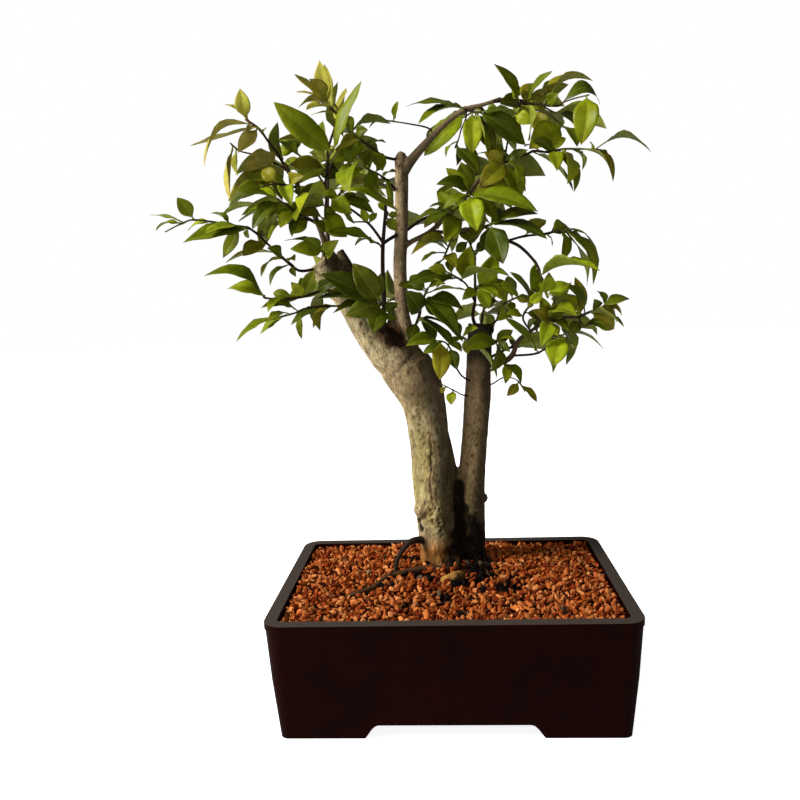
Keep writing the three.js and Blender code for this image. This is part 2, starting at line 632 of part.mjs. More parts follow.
    leaves: [
      [477, 287, 498, 252, -6, 19, -0.04], [477, 288, 500, 298, -8, 13],
      [478, 286, 489, 309, -4, 19], [477, 290, 462, 300, -4, 12], [477, 289, 498, 276, 8, 14],
    ],
  },
  {
    name: "twig_upright_left", parent: "branch_upright", radii: [1.1, 0.7],
    route: [
      [475, 302, 28], [468, 287, 16], [461, 280, 8], [447, 272, 0],
    ],
    leaves: [
      [461, 280, 470, 246, -14, 20, -0.03], [461, 280, 509, 276, -20, 12, 0.04],
      [455, 276, 407, 285, -12, 14, 0.1], [461, 280, 436, 288, 0, 7], [448, 272, 428, 268, -6, 11],
      [452, 274, 450, 260, 12, 10],
    ],
  },
  {
    name: "spray_leader_low", parent: "leader", radii: [1.5, 0.8],
    route: [
      [410, 335, 23], [417, 322, 12], [421, 308, 6], [424, 297, 0], [428, 288, -4],
    ],
    leaves: [
      [424, 298, 459, 334, -10, 21, 0.02], [420, 312, 406, 290, -20, 22],
      [419, 318, 463, 342, -24, 13, 0.08], [425, 294, 468, 291, -8, 9, 0.06],
      [428, 288, 446, 284, -12, 8], [427, 290, 410, 276, -2, 15], [422, 304, 440, 312, 14, 16],
      [418, 321, 453, 347, -32, 14, 0.04], [423, 300, 464, 311, -2, 11],
      [419, 317, 407, 304, -4, 17], [422, 303, 436, 300, 6, 12], [417, 322, 410, 343, 6, 16],
      [421, 318, 433, 343, 12, 16], [426, 291, 398, 285, 2, 14],
    ],
  },
  {
    name: "twig_second_left", parent: "second_trunk", radii: [1.0, 0.7],
    route: [
      [470, 384, 36], [462, 376, 28], [453, 360, 20], [452, 352, 15], [446, 343, 8], [438, 341, 2],
    ],
    leaves: [
      [439, 342, 440, 380, -12, 20, 0.03], [440, 342, 423, 353, 2, 10],
      [437, 341, 406, 346, -10, 14], [447, 345, 462, 352, -8, 9], [449, 348, 457, 370, 4, 13],
    ],
  },
  {
    name: "twig_second_low", parent: "second_trunk", radii: [0.8, 0.5],
    route: [
      [470, 398, 35], [463, 395, 28], [455, 391, 20], [441, 384, 13],
    ],
    leaves: [
      [453, 390, 451, 405, 10, 12, 0], [446, 387, 440, 392, 22, 6],
    ],
  },
  {
    name: "spray_second_top", parent: "second_trunk", radii: [1.6, 1.2],
    route: [
      [482, 345, 34], [492, 344, 16], [498, 340, 8],
    ],
    leaves: [
      [497, 341, 463, 350, -6, 17, 0.04], [496, 342, 490, 372, -10, 10],
      [497, 341, 510, 352, -2, 9], [496, 340, 515, 340, 4, 5], [494, 342, 513, 330, 10, 13],
    ],
  },
  {
    name: "spray_second_top_left", parent: "second_trunk", radii: [1.2, 0.8],
    route: [
      [476, 344, 35], [468, 340, 18], [461, 337, 10],
    ],
    leaves: [
      [462, 338, 497, 378, -16, 10, 0.1], [464, 338, 448, 352, 16, 9], [463, 338, 478, 328, -6, 9],
      [464, 339, 468, 354, 8, 13], [462, 337, 452, 322, 4, 12],
    ],
  },
  {
    name: "twig_second_top_right", parent: "second_trunk", radii: [1.2, 0.7],
    route: [
      [482, 332, 35], [495, 322, 30], [499, 313, 26], [504, 304, 20], [520, 296, 12],
    ],
    leaves: [
      [504, 304, 492, 282, 2, 14], [503, 305, 485, 309, 6, 9], [504, 304, 514, 312, 8, 8],
      [519, 297, 498, 286, -10, 11], [518, 297, 534, 300, 2, 9], [512, 300, 508, 276, 20, 13],
      [503, 305, 496, 278, -6, 17], [503, 306, 497, 321, 0, 8],
    ],
  },
  {
    name: "twig_right_mid_up", parent: "right_low_branch", radii: [1.0, 0.7],
    route: [
      [531, 331, 6], [523, 319, 2], [527, 309, -2], [533, 305, -4],
    ],
    leaves: [
      [527, 309, 519, 295, -10, 5], [533, 305, 530, 289, -12, 8], [524, 317, 506, 314, -8, 8],
      [532, 305, 510, 272, 10, 14], [525, 313, 540, 318, 10, 11], [532, 305, 505, 286, -4, 10],
    ],
  },
  {
    name: "twig_right_low", parent: "right_low_branch", radii: [1.2, 0.7],
    route: [
      [512, 356, 20], [534, 354, 10], [545, 349, 6], [553, 343, 3], [562, 335, -2],
    ],
    leaves: [
      [537, 352, 505, 318, -6, 18, 0.04], [563, 334, 554, 366, -18, 26, -0.03],
      [561, 336, 549, 323, 8, 13], [553, 343, 574, 349, 14, 11],
    ],
  },
  {
    name: "spray_right_low_base", parent: "right_low_branch", radii: [1.0, 0.8],
    route: [
      [500, 362, 28], [504, 364, 20],
    ],
    leaves: [
      [504, 364, 521, 384, 12, 7], [504, 364, 505, 384, 22, 9], [503, 364, 512, 372, 34, 9],
    ],
  },
  {
    name: "spray_right_mid_left", parent: "right_low_branch", radii: [1.1, 0.8],
    route: [
      [548, 321, -1], [549, 318, -14],
    ],
    leaves: [
      [549, 318, 533, 311, -24, 19], [549, 319, 541, 347, -22, 17], [549, 318, 566, 303, -18, 18],
      [549, 318, 577, 316, -30, 11], [548, 318, 540, 296, -12, 12], [549, 319, 569, 331, -4, 13],
      [549, 318, 551, 299, -22, 14],
    ],
  },
  {
    name: "spray_right_end", parent: "right_low_branch", radii: [1.1, 0.7],
    route: [
      [577, 317, -8], [592, 311, -14], [608, 305, -18],
    ],
    leaves: [
      [606, 306, 630, 299, -24, 8], [600, 308, 594, 299, -28, 12], [604, 307, 616, 322, -2, 8],
      [606, 306, 596, 291, -10, 6, 0.2], [607, 305, 622, 316, -14, 4], [590, 312, 614, 329, -6, 18],
      [585, 314, 624, 327, -24, 7], [579, 317, 575, 277, -12, 17, 0.04],
      [583, 315, 563, 284, -24, 12], [581, 316, 549, 296, -20, 12],
    ],
  },
  {
    name: "twig_right_end_low", parent: "spray_right_end", radii: [0.9, 0.6],
    route: [
      [579, 316.5, -9], [580, 321, -14], [586, 328, -18],
    ],
    leaves: [
      [585, 327, 609, 331, -30, 10], [580, 321, 570, 335, -22, 12], [586, 328, 600, 322, -8, 7],
    ],
  },
  {
    name: "twig_right_lowest", parent: "second_trunk", radii: [0.8, 0.5],
    route: [
      [486, 388, 36], [492, 384, 33], [500, 379, 27], [508, 377, 22], [518, 381, 16],
      [525, 392, 13],
    ],
    leaves: [
      [519, 382, 507, 396, 6, 10, 0.02], [521, 385, 537, 402, 8, 10, 0.06],
    ],
  },
];
const YOUNG_SHOOTS = ["shoot_top_left", "shoot_left_hanging", "spray_crown_top"];

// Leafy stems on the tree's far side, laid by rule: where each one starts, its heading seen from
// above in degrees (90 points straight away from the front), its rise in degrees and its reach
const FAR_STEMS = [
  { name: "far_stem_left_low", parent: "left_limb", place: 0.62, heading: 118, rise: 8, reach: 88 },
  { name: "far_stem_left", parent: "left_stem", place: 0.5, heading: 138, rise: 16, reach: 80 },
  { name: "far_stem_left_high", parent: "left_stem", place: 0.9, heading: 108, rise: 18, reach: 60 },
  { name: "far_stem_crown", parent: "crown_stem", place: 0.5, heading: 80, rise: 26, reach: 88 },
  { name: "far_stem_crown_high", parent: "crown_stem", place: 0.93, heading: 66, rise: 46, reach: 56 },
  { name: "far_stem_leader_low", parent: "leader", place: 0.36, heading: 100, rise: 2, reach: 92 },
  { name: "far_stem_leader", parent: "leader", place: 0.6, heading: 62, rise: 14, reach: 98 },
  { name: "far_stem_leader_high", parent: "leader", place: 0.74, heading: 122, rise: 12, reach: 84 },
  { name: "far_stem_right_branch", parent: "right_branch", place: 0.79, heading: 80, rise: -2, reach: 76 },
  { name: "far_stem_right_high", parent: "right_branch", place: 0.92, heading: 40, rise: 0, reach: 72 },
  { name: "far_stem_right", parent: "long_branch", place: 0.6, heading: 82, rise: 4, reach: 88 },
  { name: "far_stem_right_reach", parent: "long_branch", place: 0.94, heading: 84, rise: 6, reach: 74 },
  { name: "far_stem_second_trunk", parent: "second_trunk", place: 0.97, heading: 84, rise: 14, reach: 92 },
  { name: "far_stem_second_side", parent: "second_trunk", place: 0.88, heading: 24, rise: 14, reach: 78 },
  { name: "far_stem_right_low", parent: "right_low_branch", place: 0.62, heading: 62, rise: 2, reach: 74 },
];
const FAR_PAIRS = 2; // pairs of leaves along a far stem, below the pair at its end
const FAR_LEAF_LENGTHS = [32, 48];
const FAR_SHOWN = [0.3, 0.9]; // share of a far leaf's width that the viewer behind sees
const FIRST_PAIR = 0.4; // where the first pair stands along a far stem
const LAST_FOOT = 0.97; // and where the last leaf stands along any stem
const FOOT_PITCH = 2.4; // least distance between the feet of two leaves
const ROOT_MARGIN = 1.6; // between the bark that a stem starts from and its first leaf
const DEFAULT_ARCH = 0.12;
const FAR_RADII = [1.7, 1.4, 1.1, 0.8];
const FAR_COURSE = [[0.35, 0.05], [0.7, 0.05], [1, -0.02]]; // along its reach, and its bow upwards
const FAR_SPREAD = [0.6, 0.95]; // how far a far leaf turns out from its stem
const FAR_FORWARD = 0.5; // how far it leans along the stem
const FAR_END_FORWARD = 0.9; // and how far in the pair at the end
const FAR_DROOP = 0.25;

const UP = new THREE.Vector3(0, 0, 1);
const vector = ([x, y, z]) => new THREE.Vector3(x, y, z);
const clamp = (value, low, high) => Math.min(Math.max(value, low), high);

// Repeatable chance, the same on every run
let chanceState = 35;
function chance() {
  chanceState = (chanceState * 1664525 + 1013904223) % 4294967296;
  return chanceState / 4294967296;
}
const between = (low, high) => low + (high - low) * chance();

// The value at a share of the way through a list of values
function along(values, t) {
  const place = t * (values.length - 1);
  const index = Math.min(Math.floor(place), values.length - 2);
  return THREE.MathUtils.lerp(values[index], values[index + 1], place - index);
}

// The camera's axes, and the way from a pixel and a depth to a point and back
const [pitch, yaw, roll] = [CAMERA.pitch, CAMERA.yaw, CAMERA.roll].map(THREE.MathUtils.degToRad);
const VIEW = new THREE.Vector3(
  -Math.sin(yaw) * Math.cos(pitch),
  Math.cos(yaw) * Math.cos(pitch),
  -Math.sin(pitch),
);
const LEVEL = new THREE.Vector3(Math.cos(yaw), Math.sin(yaw), 0);
const STEEP = LEVEL.clone().cross(VIEW);
const RIGHTWARD = LEVEL.clone().multiplyScalar(Math.cos(roll)).addScaledVector(STEEP, Math.sin(roll));
const UPWARD = STEEP.clone().multiplyScalar(Math.cos(roll)).addScaledVector(LEVEL, -Math.sin(roll));
const CAMERA_PLACE = vector(CAMERA.place);

function fromPhoto(u, v, depth) {
  const ray = VIEW.clone()
    .addScaledVector(RIGHTWARD, (u - CAMERA.middle) / CAMERA.focal)
    .addScaledVector(UPWARD, (CAMERA.middle - v) / CAMERA.focal);
  return ray.multiplyScalar((depth - CAMERA_PLACE.y) / ray.y).add(CAMERA_PLACE);
}

// Millimetres that a pixel covers at a point
const pixelSize = (point) => point.clone().sub(CAMERA_PLACE).dot(VIEW) / CAMERA.focal;

function toPhoto(point) {
  const away = point.clone().sub(CAMERA_PLACE);
  const scale = CAMERA.focal / away.dot(VIEW);
  return [CAMERA.middle + scale * away.dot(RIGHTWARD), CAMERA.middle - scale * away.dot(UPWARD)];
}

// How many sides a limb's section has, by its widest radius
const SIDES = [[12, 12], [6.5, 7], [4.5, 6], [2.5, 5], [0, 4]];

// The middle line of a limb or stem, which runs smoothly through its points and is drawn in short
// straight steps, and the radius along it
class Stem {
  constructor(route, radii) {
    this.radii = radii;
    this.points = route.map((p) => (p.isVector3 ? p : vector(p)));
    this.curve = new THREE.CatmullRomCurve3(this.points, false, "catmullrom", 0.5);
    const widest = Math.max(...radii);
    this.sides = SIDES.find(([least]) => widest > least)[1];
    this.length = 0;
    for (let i = 1; i < route.length; i += 1) this.length += this.points[i].distanceTo(this.points[i - 1]);
    const longest = Math.max(LONGEST_STEP, widest * STEP_TO_RADIUS);
    this.steps = Math.max(route.length - 1, Math.ceil(this.length / longest));
    this.line = Array.from({ length: this.steps + 1 }, (_, i) => this.curve.getPoint(i / this.steps));
  }

  at(t) {
    const place = t * this.steps;
    const index = Math.min(Math.floor(place), this.steps - 1);
    return this.line[index].clone().lerp(this.line[index + 1], place - index);
  }

  heading(t) {
    const ahead = this.at(Math.min(t + HEADING_SPAN, 1));
    return ahead.sub(this.at(Math.max(t - HEADING_SPAN, 0))).normalize();
  }

  radius(t) {
    return along(this.radii, t);
  }

  // The share of the stem at which the camera sees it nearest to a pixel
  seenAt(u, v) {
    let least = Infinity;
    let place = 0;
    for (let i = 0; i <= SEEN_STEPS; i += 1) {
      const [x, y] = toPhoto(this.at(i / SEEN_STEPS));
      const miss = Math.hypot(x - u, y - v);
      if (miss < least) [least, place] = [miss, i / SEEN_STEPS];
    }
    return place;
  }
}

// A closed body through rings of points, all with the same count. It has a flat end at each side,
// or a tip where the end ring is a single point.
function loft(rings) {
  const positions = rings.flat().flatMap((p) => [p.x, p.y, p.z]);
  const faces = [];
  const starts = [];
  let start = 0;
  for (const ring of rings) {
    starts.push(start);
    start += ring.length;
  }
  for (let r = 0; r + 1 < rings.length; r += 1) {
    const count = Math.max(rings[r].length, rings[r + 1].length);
    const a = starts[r];
    const b = starts[r + 1];
    for (let i = 0; i < count; i += 1) {
      const j = (i + 1) % count;
      if (rings[r].length === 1) faces.push(a, b + j, b + i);
      else if (rings[r + 1].length === 1) faces.push(a + i, a + j, b);
      else faces.push(a + i, a + j, b + j, a + i, b + j, b + i);
    }
  }
  const first = rings[0].length;
  for (let i = 1; i + 1 < first; i += 1) faces.push(0, i + 1, i);
  const last = rings[rings.length - 1].length;
  const end = starts[rings.length - 1];
  for (let i = 1; i + 1 < last; i += 1) faces.push(end, end + i, end + i + 1);
  return closedGeometry(positions, faces);
}

// Turns the faces round where they point inwards
function closedGeometry(positions, faces) {
  let volume = 0;
  const corner = (i) => new THREE.Vector3().fromArray(positions, faces[i] * 3);
  for (let i = 0; i < faces.length; i += 3) {
    volume += corner(i).dot(corner(i + 1).cross(corner(i + 2)));
  }
  for (let i = 0; volume < 0 && i < faces.length; i += 3) {
    [faces[i + 1], faces[i + 2]] = [faces[i + 2], faces[i + 1]];
  }
  const geometry = new THREE.BufferGeometry();
  geometry.setAttribute("position", new THREE.Float32BufferAttribute(positions, 3));
  geometry.setIndex(faces);
  return geometry;
}

function toSolid(geometry) {
  const bare = geometry.clone();
  bare.deleteAttribute("normal");
  bare.deleteAttribute("uv");
  const merged = mergeVertices(bare, 1e-4);
  return new wasm.Manifold(new wasm.Mesh({
    numProp: 3,
    vertProperties: new Float32Array(merged.attributes.position.array),
    triVerts: new Uint32Array(merged.index.array),
  }));
}

function toGeometry(solid) {
  const mesh = solid.getMesh();
  const geometry = new THREE.BufferGeometry();
  const positions = new Float32Array(mesh.vertProperties);
  geometry.setAttribute("position", new THREE.BufferAttribute(positions, 3));
  geometry.setIndex(new THREE.BufferAttribute(new Uint32Array(mesh.triVerts), 1));
  geometry.computeVertexNormals();
  return geometry;
}

const joined = (solids) => solids.reduce((whole, solid) => whole.add(solid));

// Cutting can leave a loose scrap: the largest body is kept
function largestBody(solid) {
  const bodies = solid.decompose();
  return bodies.reduce((best, body) => (body.volume() > best.volume() ? body : best));
}

// A round limb with a flat, cut end
function limbSolid(stem, extra = 0) {
  const { sides, steps } = stem;
  let across = new THREE.Vector3(1, 0.2, 0);
  const rings = [];
  for (let i = 0; i <= steps; i += 1) {
    const t = i / steps;
    const heading = stem.heading(t);
    across = across.clone().addScaledVector(heading, -across.dot(heading)).normalize();
    const other = heading.clone().cross(across);
    const radius = stem.radius(t) + extra;
    const middle = stem.at(t);
    if (i === 0) middle.addScaledVector(heading, -extra);
    if (i === steps) middle.addScaledVector(heading, extra);
    const gnarl = stem.radius(t) > GNARLED_ABOVE ? GNARL : 0;
    rings.push(Array.from({ length: sides }, (_, k) => {
      const angle = (k / sides) * 2 * Math.PI;
      const swell = 1 + gnarl * Math.sin(3 * angle + i * 1.1) + gnarl * Math.cos(2 * angle - i * 0.9);
      return middle.clone()
        .addScaledVector(across, Math.cos(angle) * radius * swell)
        .addScaledVector(other, Math.sin(angle) * radius * swell);
    }));
  }
  return toSolid(loft(rings));
}

// How wide a leaf is, from its length and the least width that it has to show
function leafWidth(length, shown = 0) {
  const wide = Math.min(shown, length * WIDEST_TO_LENGTH);
  return clamp(Math.max(length * WIDTH_TO_LENGTH, wide), ...LEAF_WIDTHS);
}

// A leaf from its foot on a stem to its tip. It is turned so that it looks as wide as shown to the
// viewer it faces, who stands in front, or behind for a far stem. arch is how high it bows, as a
// share of its length.
function makeBlade(foot, tip, shown, arch, facing) {
  const along = tip.clone().sub(foot);
  const length = along.length();
  const width = leafWidth(length, shown);
  const turn = Math.acos(Math.min(shown / width, 1));
  along.normalize();
  const face = new THREE.Vector3(0, -facing, FACE_TILT);
  face.addScaledVector(along, -face.dot(along)).normalize();
  const aside = along.clone().cross(face);
  const skyward = aside.z * 2 + aside.x * Math.sign(foot.x - CROWN_MIDDLE);
  if (skyward < 0) aside.negate();
  const normal = face.multiplyScalar(Math.cos(turn)).addScaledVector(aside, Math.sin(turn));
  const side = normal.clone().cross(along);
  return { foot, along, normal, side, length, width, arch, facing };
}

const bladeShape = (s) => Math.sin(Math.PI * s ** BLADE_FULLNESS) ** BLADE_FULLNESS;

// A point of the blade: s runs from foot to tip, across from -1 at one edge to 1 at the other
function bladePoint(blade, s, across, lift = 0, half = (blade.width / 2) * bladeShape(s)) {
  const rise = blade.arch * blade.length * 4 * s * (1 - s) + lift;
  return blade.foot.clone()
    .addScaledVector(blade.along, blade.length * s)
    .addScaledVector(blade.normal, rise)
    .addScaledVector(blade.side, across * half);
}

// Flat below, with the midrib as a ridge above
function bladeSolid(blade) {
  const ring = (s, half) => [
    bladePoint(blade, s, -1, 0, half),
    bladePoint(blade, s, 1, 0, half),
    bladePoint(blade, s, 0, MIDRIB, half),
  ];
  let stations = BLADE_SECTIONS;
  if (blade.length < SMALL_LEAF) stations = SMALL_BLADE_SECTIONS;
  if (blade.length > LARGE_LEAF && blade.facing > 0) stations = LARGE_BLADE_SECTIONS;
  return toSolid(loft([
    [bladePoint(blade, 0, 0)],
    ring(STALK_LENGTH / blade.length, STALK_HALF_WIDTH),
    ...stations.map((s) => ring(s, (blade.width / 2) * bladeShape(s))),
    [bladePoint(blade, 1, 0)],
  ]));
}

// A copy of a blade without its foot, thicker all round, which shows whether the blade has room
function bladeRoom(blade, sections, thicker) {
  const ring = (s, extra) => {
    const half = (blade.width / 2) * bladeShape(Math.min(s, LAST_FOOT)) + extra;
    return [
      bladePoint(blade, s, -1, 0, half),
      bladePoint(blade, s, 0, -extra, half),
      bladePoint(blade, s, 1, 0, half),
      bladePoint(blade, s, 0, MIDRIB + extra, half),
    ];
  };
  const rings = sections.map((s) => ring(s, thicker));
  return toSolid(loft([...rings, ring(1 + thicker / blade.length, CLEARANCE)]));
}

// Points along a stem, with the bark's radius at each
function stemSpots(stem) {
  const count = Math.ceil(stem.length / SPOT_PITCH);
  return Array.from({ length: count + 1 }, (_, i) => ({
    point: stem.at(i / count),
    radius: stem.radius(i / count),
  }));
}

// A leafy stem that starts from the wood carries the stems that fork from it, as one piece
const family = {};
const rootOf = {};
for (const { name, parent } of [...STEMS, ...FAR_STEMS]) {
  rootOf[name] = parent in LIMBS ? name : rootOf[parent];
  (family[rootOf[name]] ??= []).push(name);
}

const wood = {}; // every limb and stem: its body, its spots and a sphere round them
const placedBlades = [];

function meets(a, b) {
  if (a.middle.distanceTo(b.middle) >= a.reach + b.reach) return false;
  return !a.body.intersect(b.body).isEmpty();
}

// Leaves of one piece may lie close to each other, because they grow together at their stem
function hasRoom(blade, ownStem) {
  const place = { middle: bladePoint(blade, 0.5, 0), reach: blade.length / 2 + LEAF_WIDTHS[0] };
  const room = { ...place, body: bladeRoom(blade, ROOM_SECTIONS, BLADE_ROOM) };
  const near = { ...place, body: bladeRoom(blade, NEAR_SECTIONS, NEAR_ROOM) };
  const piece = rootOf[ownStem];
  for (const [name, limb] of Object.entries(wood)) {
    if (name !== ownStem && meets(room, limb)) return false;
  }
  const rest = BLADE_STATIONS.map((s) => bladePoint(blade, s, 0));
  for (const { point, radius } of wood[ownStem].spots) {
    if (rest.some((spot) => spot.distanceTo(point) < radius + OWN_STEM_GAP)) return false;
  }
  const crossed = (other) => meets(other.piece === piece ? near : room, other);
  if (placedBlades.some(crossed)) return false;
  placedBlades.push({ ...place, piece, body: bladeSolid(blade) });
  return true;
}

// Where a leaf would cross wood or another leaf its tip moves straight towards the camera or away
// from it, by so many mm. A leaf that finds no room is left out.
const LEANS = [0, -7, 7, -13, 13, -19, 19, -26, 26, -34, 34, -42, 42];

function growBlade(stemName, t, tip, shown, arch, facing) {
  const foot = stems[stemName].at(t);
  const away = tip.clone().sub(CAMERA_PLACE).normalize();
  for (const lean of LEANS) {
    const leaning = tip.clone().addScaledVector(away, lean);
    const blade = makeBlade(foot, leaning, shown, arch, facing);
    if (hasRoom(blade, stemName)) return blade;
  }
  return null;
}

// Every limb and stem as a smooth line
const stems = {};
for (const [name, { route, radii }] of Object.entries(LIMBS)) stems[name] = new Stem(route, radii);

// A stem starts where the camera sees it leave its parent, and its depths are taken from there
for (const { name, parent, radii, route, deepen = DEEPEN } of STEMS) {
  const [[firstU, firstV, firstDepth], ...rest] = route;
  const place = stems[parent].seenAt(firstU, firstV);
  const start = stems[parent].at(place);
  const points = rest.map(([u, v, depth]) => (
    fromPhoto(u, v, start.y + clamp(deepen * (depth - firstDepth), -DEEPEST, DEEPEST))
  ));
  stems[name] = new Stem([start, ...points], radii);
  stems[name].hidden = stems[parent].radius(place) + ROOT_MARGIN;
}

for (const { name, parent, place: t, heading, rise, reach } of FAR_STEMS) {
  const turn = THREE.MathUtils.degToRad(heading);
  const climb = THREE.MathUtils.degToRad(rise);
  const way = new THREE.Vector3(
    Math.cos(turn) * Math.cos(climb),
    Math.sin(turn) * Math.cos(climb),
    Math.sin(climb),
  );
  const start = stems[parent].at(t);
  const points = FAR_COURSE.map(([share, lift]) => (
    start.clone().addScaledVector(way, reach * share).addScaledVector(UP, reach * lift)
  ));
  stems[name] = new Stem([start, ...points], FAR_RADII);
  stems[name].hidden = stems[parent].radius(t) + ROOT_MARGIN;
}

for (const [name, stem] of Object.entries(stems)) {
  const sphere = new THREE.Sphere().setFromPoints(stem.points);
  wood[name] = {
    body: limbSolid(stem),
    spots: stemSpots(stem),
    middle: sphere.center,
    reach: sphere.radius + Math.max(...stem.radii) + 3,
  };
}

// The leaves of each stem: first those that stand at measured places, then the far side's pairs.
// Feet that would meet on the stem are set a little apart along it.
const blades = {};

function setApart(wanted, stem) {
  const least = FOOT_PITCH / stem.length;
  const order = wanted.map((_, i) => i).sort((a, b) => wanted[a] - wanted[b]);
  const places = [...wanted];
  let last = stem.hidden / stem.length - least;
  for (const i of order) {
    places[i] = Math.max(places[i], last + least);
    last = places[i];
  }
  last = LAST_FOOT + least;
  for (const i of order.reverse()) {
    places[i] = Math.min(places[i], last - least);
    last = places[i];
  }
  return places;
}

for (const { name, route, leaves } of STEMS) {
  const stem = stems[name];
  const depths = route.map(([, , depth]) => depth);
  const seen = leaves.map(([footU, footV]) => stem.seenAt(footU, footV));
  const places = setApart(seen, stem);
  blades[name] = leaves.map(([, , tipU, tipV, depth, pixelWidth, arch = DEFAULT_ARCH], i) => {
    const foot = stem.at(seen[i]);
    const tip = fromPhoto(tipU, tipV, foot.y + depth - along(depths, seen[i]));
    const shown = pixelWidth * pixelSize(foot.clone().lerp(tip, 0.5));
    return growBlade(name, places[i], tip, shown, arch, 1);
  }).filter(Boolean);
}

for (const { name } of FAR_STEMS) {
  const stem = stems[name];
  const pairPlaces = [];
  for (let k = 0; k <= FAR_PAIRS; k += 1) {
    pairPlaces.push(FIRST_PAIR + (LAST_FOOT - FIRST_PAIR) * (k / FAR_PAIRS));
  }
  const places = setApart(pairPlaces.flatMap((t) => [t, t]), stem);
  blades[name] = places.map((t, i) => {
    const k = Math.floor(i / 2);
    const heading = stem.heading(t);
    const level = heading.clone().cross(UP).normalize();
    const upright = level.clone().cross(heading);
    const aside = k % 2 === 0 ? level : upright;
    const spread = between(...FAR_SPREAD) * (i % 2 ? 1 : -1);
    const length = between(...FAR_LEAF_LENGTHS);
    const shown = between(...FAR_SHOWN) * leafWidth(length);
    const way = heading.clone().multiplyScalar(k === FAR_PAIRS ? FAR_END_FORWARD : FAR_FORWARD)
      .addScaledVector(aside, spread)
      .addScaledVector(UP, -FAR_DROOP)
      .normalize();
    return growBlade(name, t, stem.at(t).addScaledVector(way, length), shown, DEFAULT_ARCH, -1);
  }).filter(Boolean);
}

// The outline of the pot, seen from above, at a distance inside the rim's edge
function potOutline(inset, z, quarter = 3) {
  const radius = Math.max(POT_CORNER - inset, LEAST_CORNER);
  const x = POT_WIDTH / 2 - inset - radius;
  const y = POT_DEPTH / 2 - inset - radius;
  const ring = [];
  [[x, y, 0], [-x, y, 1], [-x, -y, 2], [x, -y, 3]].forEach(([cx, cy, turn]) => {
    for (let i = 0; i <= quarter; i += 1) {
      const angle = (turn + i / quarter) * (Math.PI / 2);
      ring.push(new THREE.Vector3(cx + Math.cos(angle) * radius, cy + Math.sin(angle) * radius, z));
    }
  });
  return ring;
}

// How far the inner face of the wall lies inside the rim's edge, at a height
function insideInset(z) {
  const atFloor = POT_TAPER + WALL + INSIDE_DRAFT;
  return THREE.MathUtils.mapLinear(z, FLOOR_TOP, POT_HEIGHT, atFloor, RIM_WIDTH);
}

function extruded(outline, depth) {
  return new THREE.ExtrudeGeometry(new THREE.Shape(outline.map(([x, y]) => new THREE.Vector2(x, y))), {
    depth,
    bevelEnabled: false,
  });
}

function footGap(halfGap, span) {
  const top = FOOT_HEIGHT;
  return extruded([[-halfGap, -1], [halfGap, -1], [halfGap, 0], [halfGap - FOOT_SLOPE, top],
    [FOOT_SLOPE - halfGap, top], [-halfGap, 0]], span).translate(0, 0, -span / 2).rotateX(Math.PI / 2);
}

function drainHole(x) {
  const circle = new THREE.Shape();
  circle.absarc(0, 0, DRAIN_RADIUS, 0, 2 * Math.PI);
  return new THREE.ExtrudeGeometry(circle, { depth: 40, bevelEnabled: false, curveSegments: 10 })
    .translate(x, 0, -10);
}

function makePot() {
  const band = POT_HEIGHT - RIM_BAND;
  const rings = [
    potOutline(POT_TAPER, 0),
    potOutline(BELLY, POT_HEIGHT / 2),
    potOutline(NECK, band - RIM_ROUND),
    potOutline(RIM_ROUND / 3, band),
    potOutline(0, band + RIM_ROUND),
    potOutline(0, POT_HEIGHT - RIM_ROUND),
    potOutline(RIM_ROUND, POT_HEIGHT),
    potOutline(RIM_WIDTH - RIM_ROUND / 2, POT_HEIGHT),
    potOutline(RIM_WIDTH, POT_HEIGHT - RIM_ROUND / 2),
    potOutline(insideInset(FLOOR_TOP), FLOOR_TOP),
  ];
  return toSolid(loft(rings))
    .subtract(toSolid(footGap(FOOT_GAP_X, POT_DEPTH)))
    .subtract(toSolid(footGap(FOOT_GAP_Y, POT_WIDTH).rotateZ(Math.PI / 2)))
    .subtract(toSolid(drainHole(DRAIN_X)))
    .subtract(toSolid(drainHole(-DRAIN_X)));
}

const square = (half, cx = 0, cy = 0) => [[cx - half, cy - half], [cx + half, cy - half],
  [cx + half, cy + half], [cx - half, cy + half]];

// A plastic screen over a drain hole, under the soil
function screenSolid(x) {
  const z = FLOOR_TOP + CLEARANCE;
  let screen = toSolid(extruded(square(SCREEN_SIZE / 2, x), SCREEN_THICKNESS).translate(0, 0, z));
  const pitch = SCREEN_SIZE / (SCREEN_HOLES + 0.5);
  for (let i = 0; i < SCREEN_HOLES; i += 1) {
    for (let j = 0; j < SCREEN_HOLES; j += 1) {
      const cx = x + (i - (SCREEN_HOLES - 1) / 2) * pitch;
      const cy = (j - (SCREEN_HOLES - 1) / 2) * pitch;
      const hole = extruded(square(pitch * SCREEN_OPEN / 2, cx, cy), 3 * SCREEN_THICKNESS);
      screen = screen.subtract(toSolid(hole.translate(0, 0, z - SCREEN_THICKNESS)));
    }
  }
  return screen;
}

const treeWith = (extra) => joined(Object.keys(LIMBS).map((name) => limbSolid(stems[name], extra)));

// The soil's top is level by the wall and heaped round the trunks. The granules, larger than life,
// are its relief.
function heap(x, y) {
  return SOIL_CROWN * Math.exp(-((x / HEAP_REACH[0]) ** 2 + ((y - HEAP_BACK) / HEAP_REACH[1]) ** 2));
}

const offRow = () => between(-GRANULE_SHIFT, GRANULE_SHIFT) * GRANULE_PITCH;

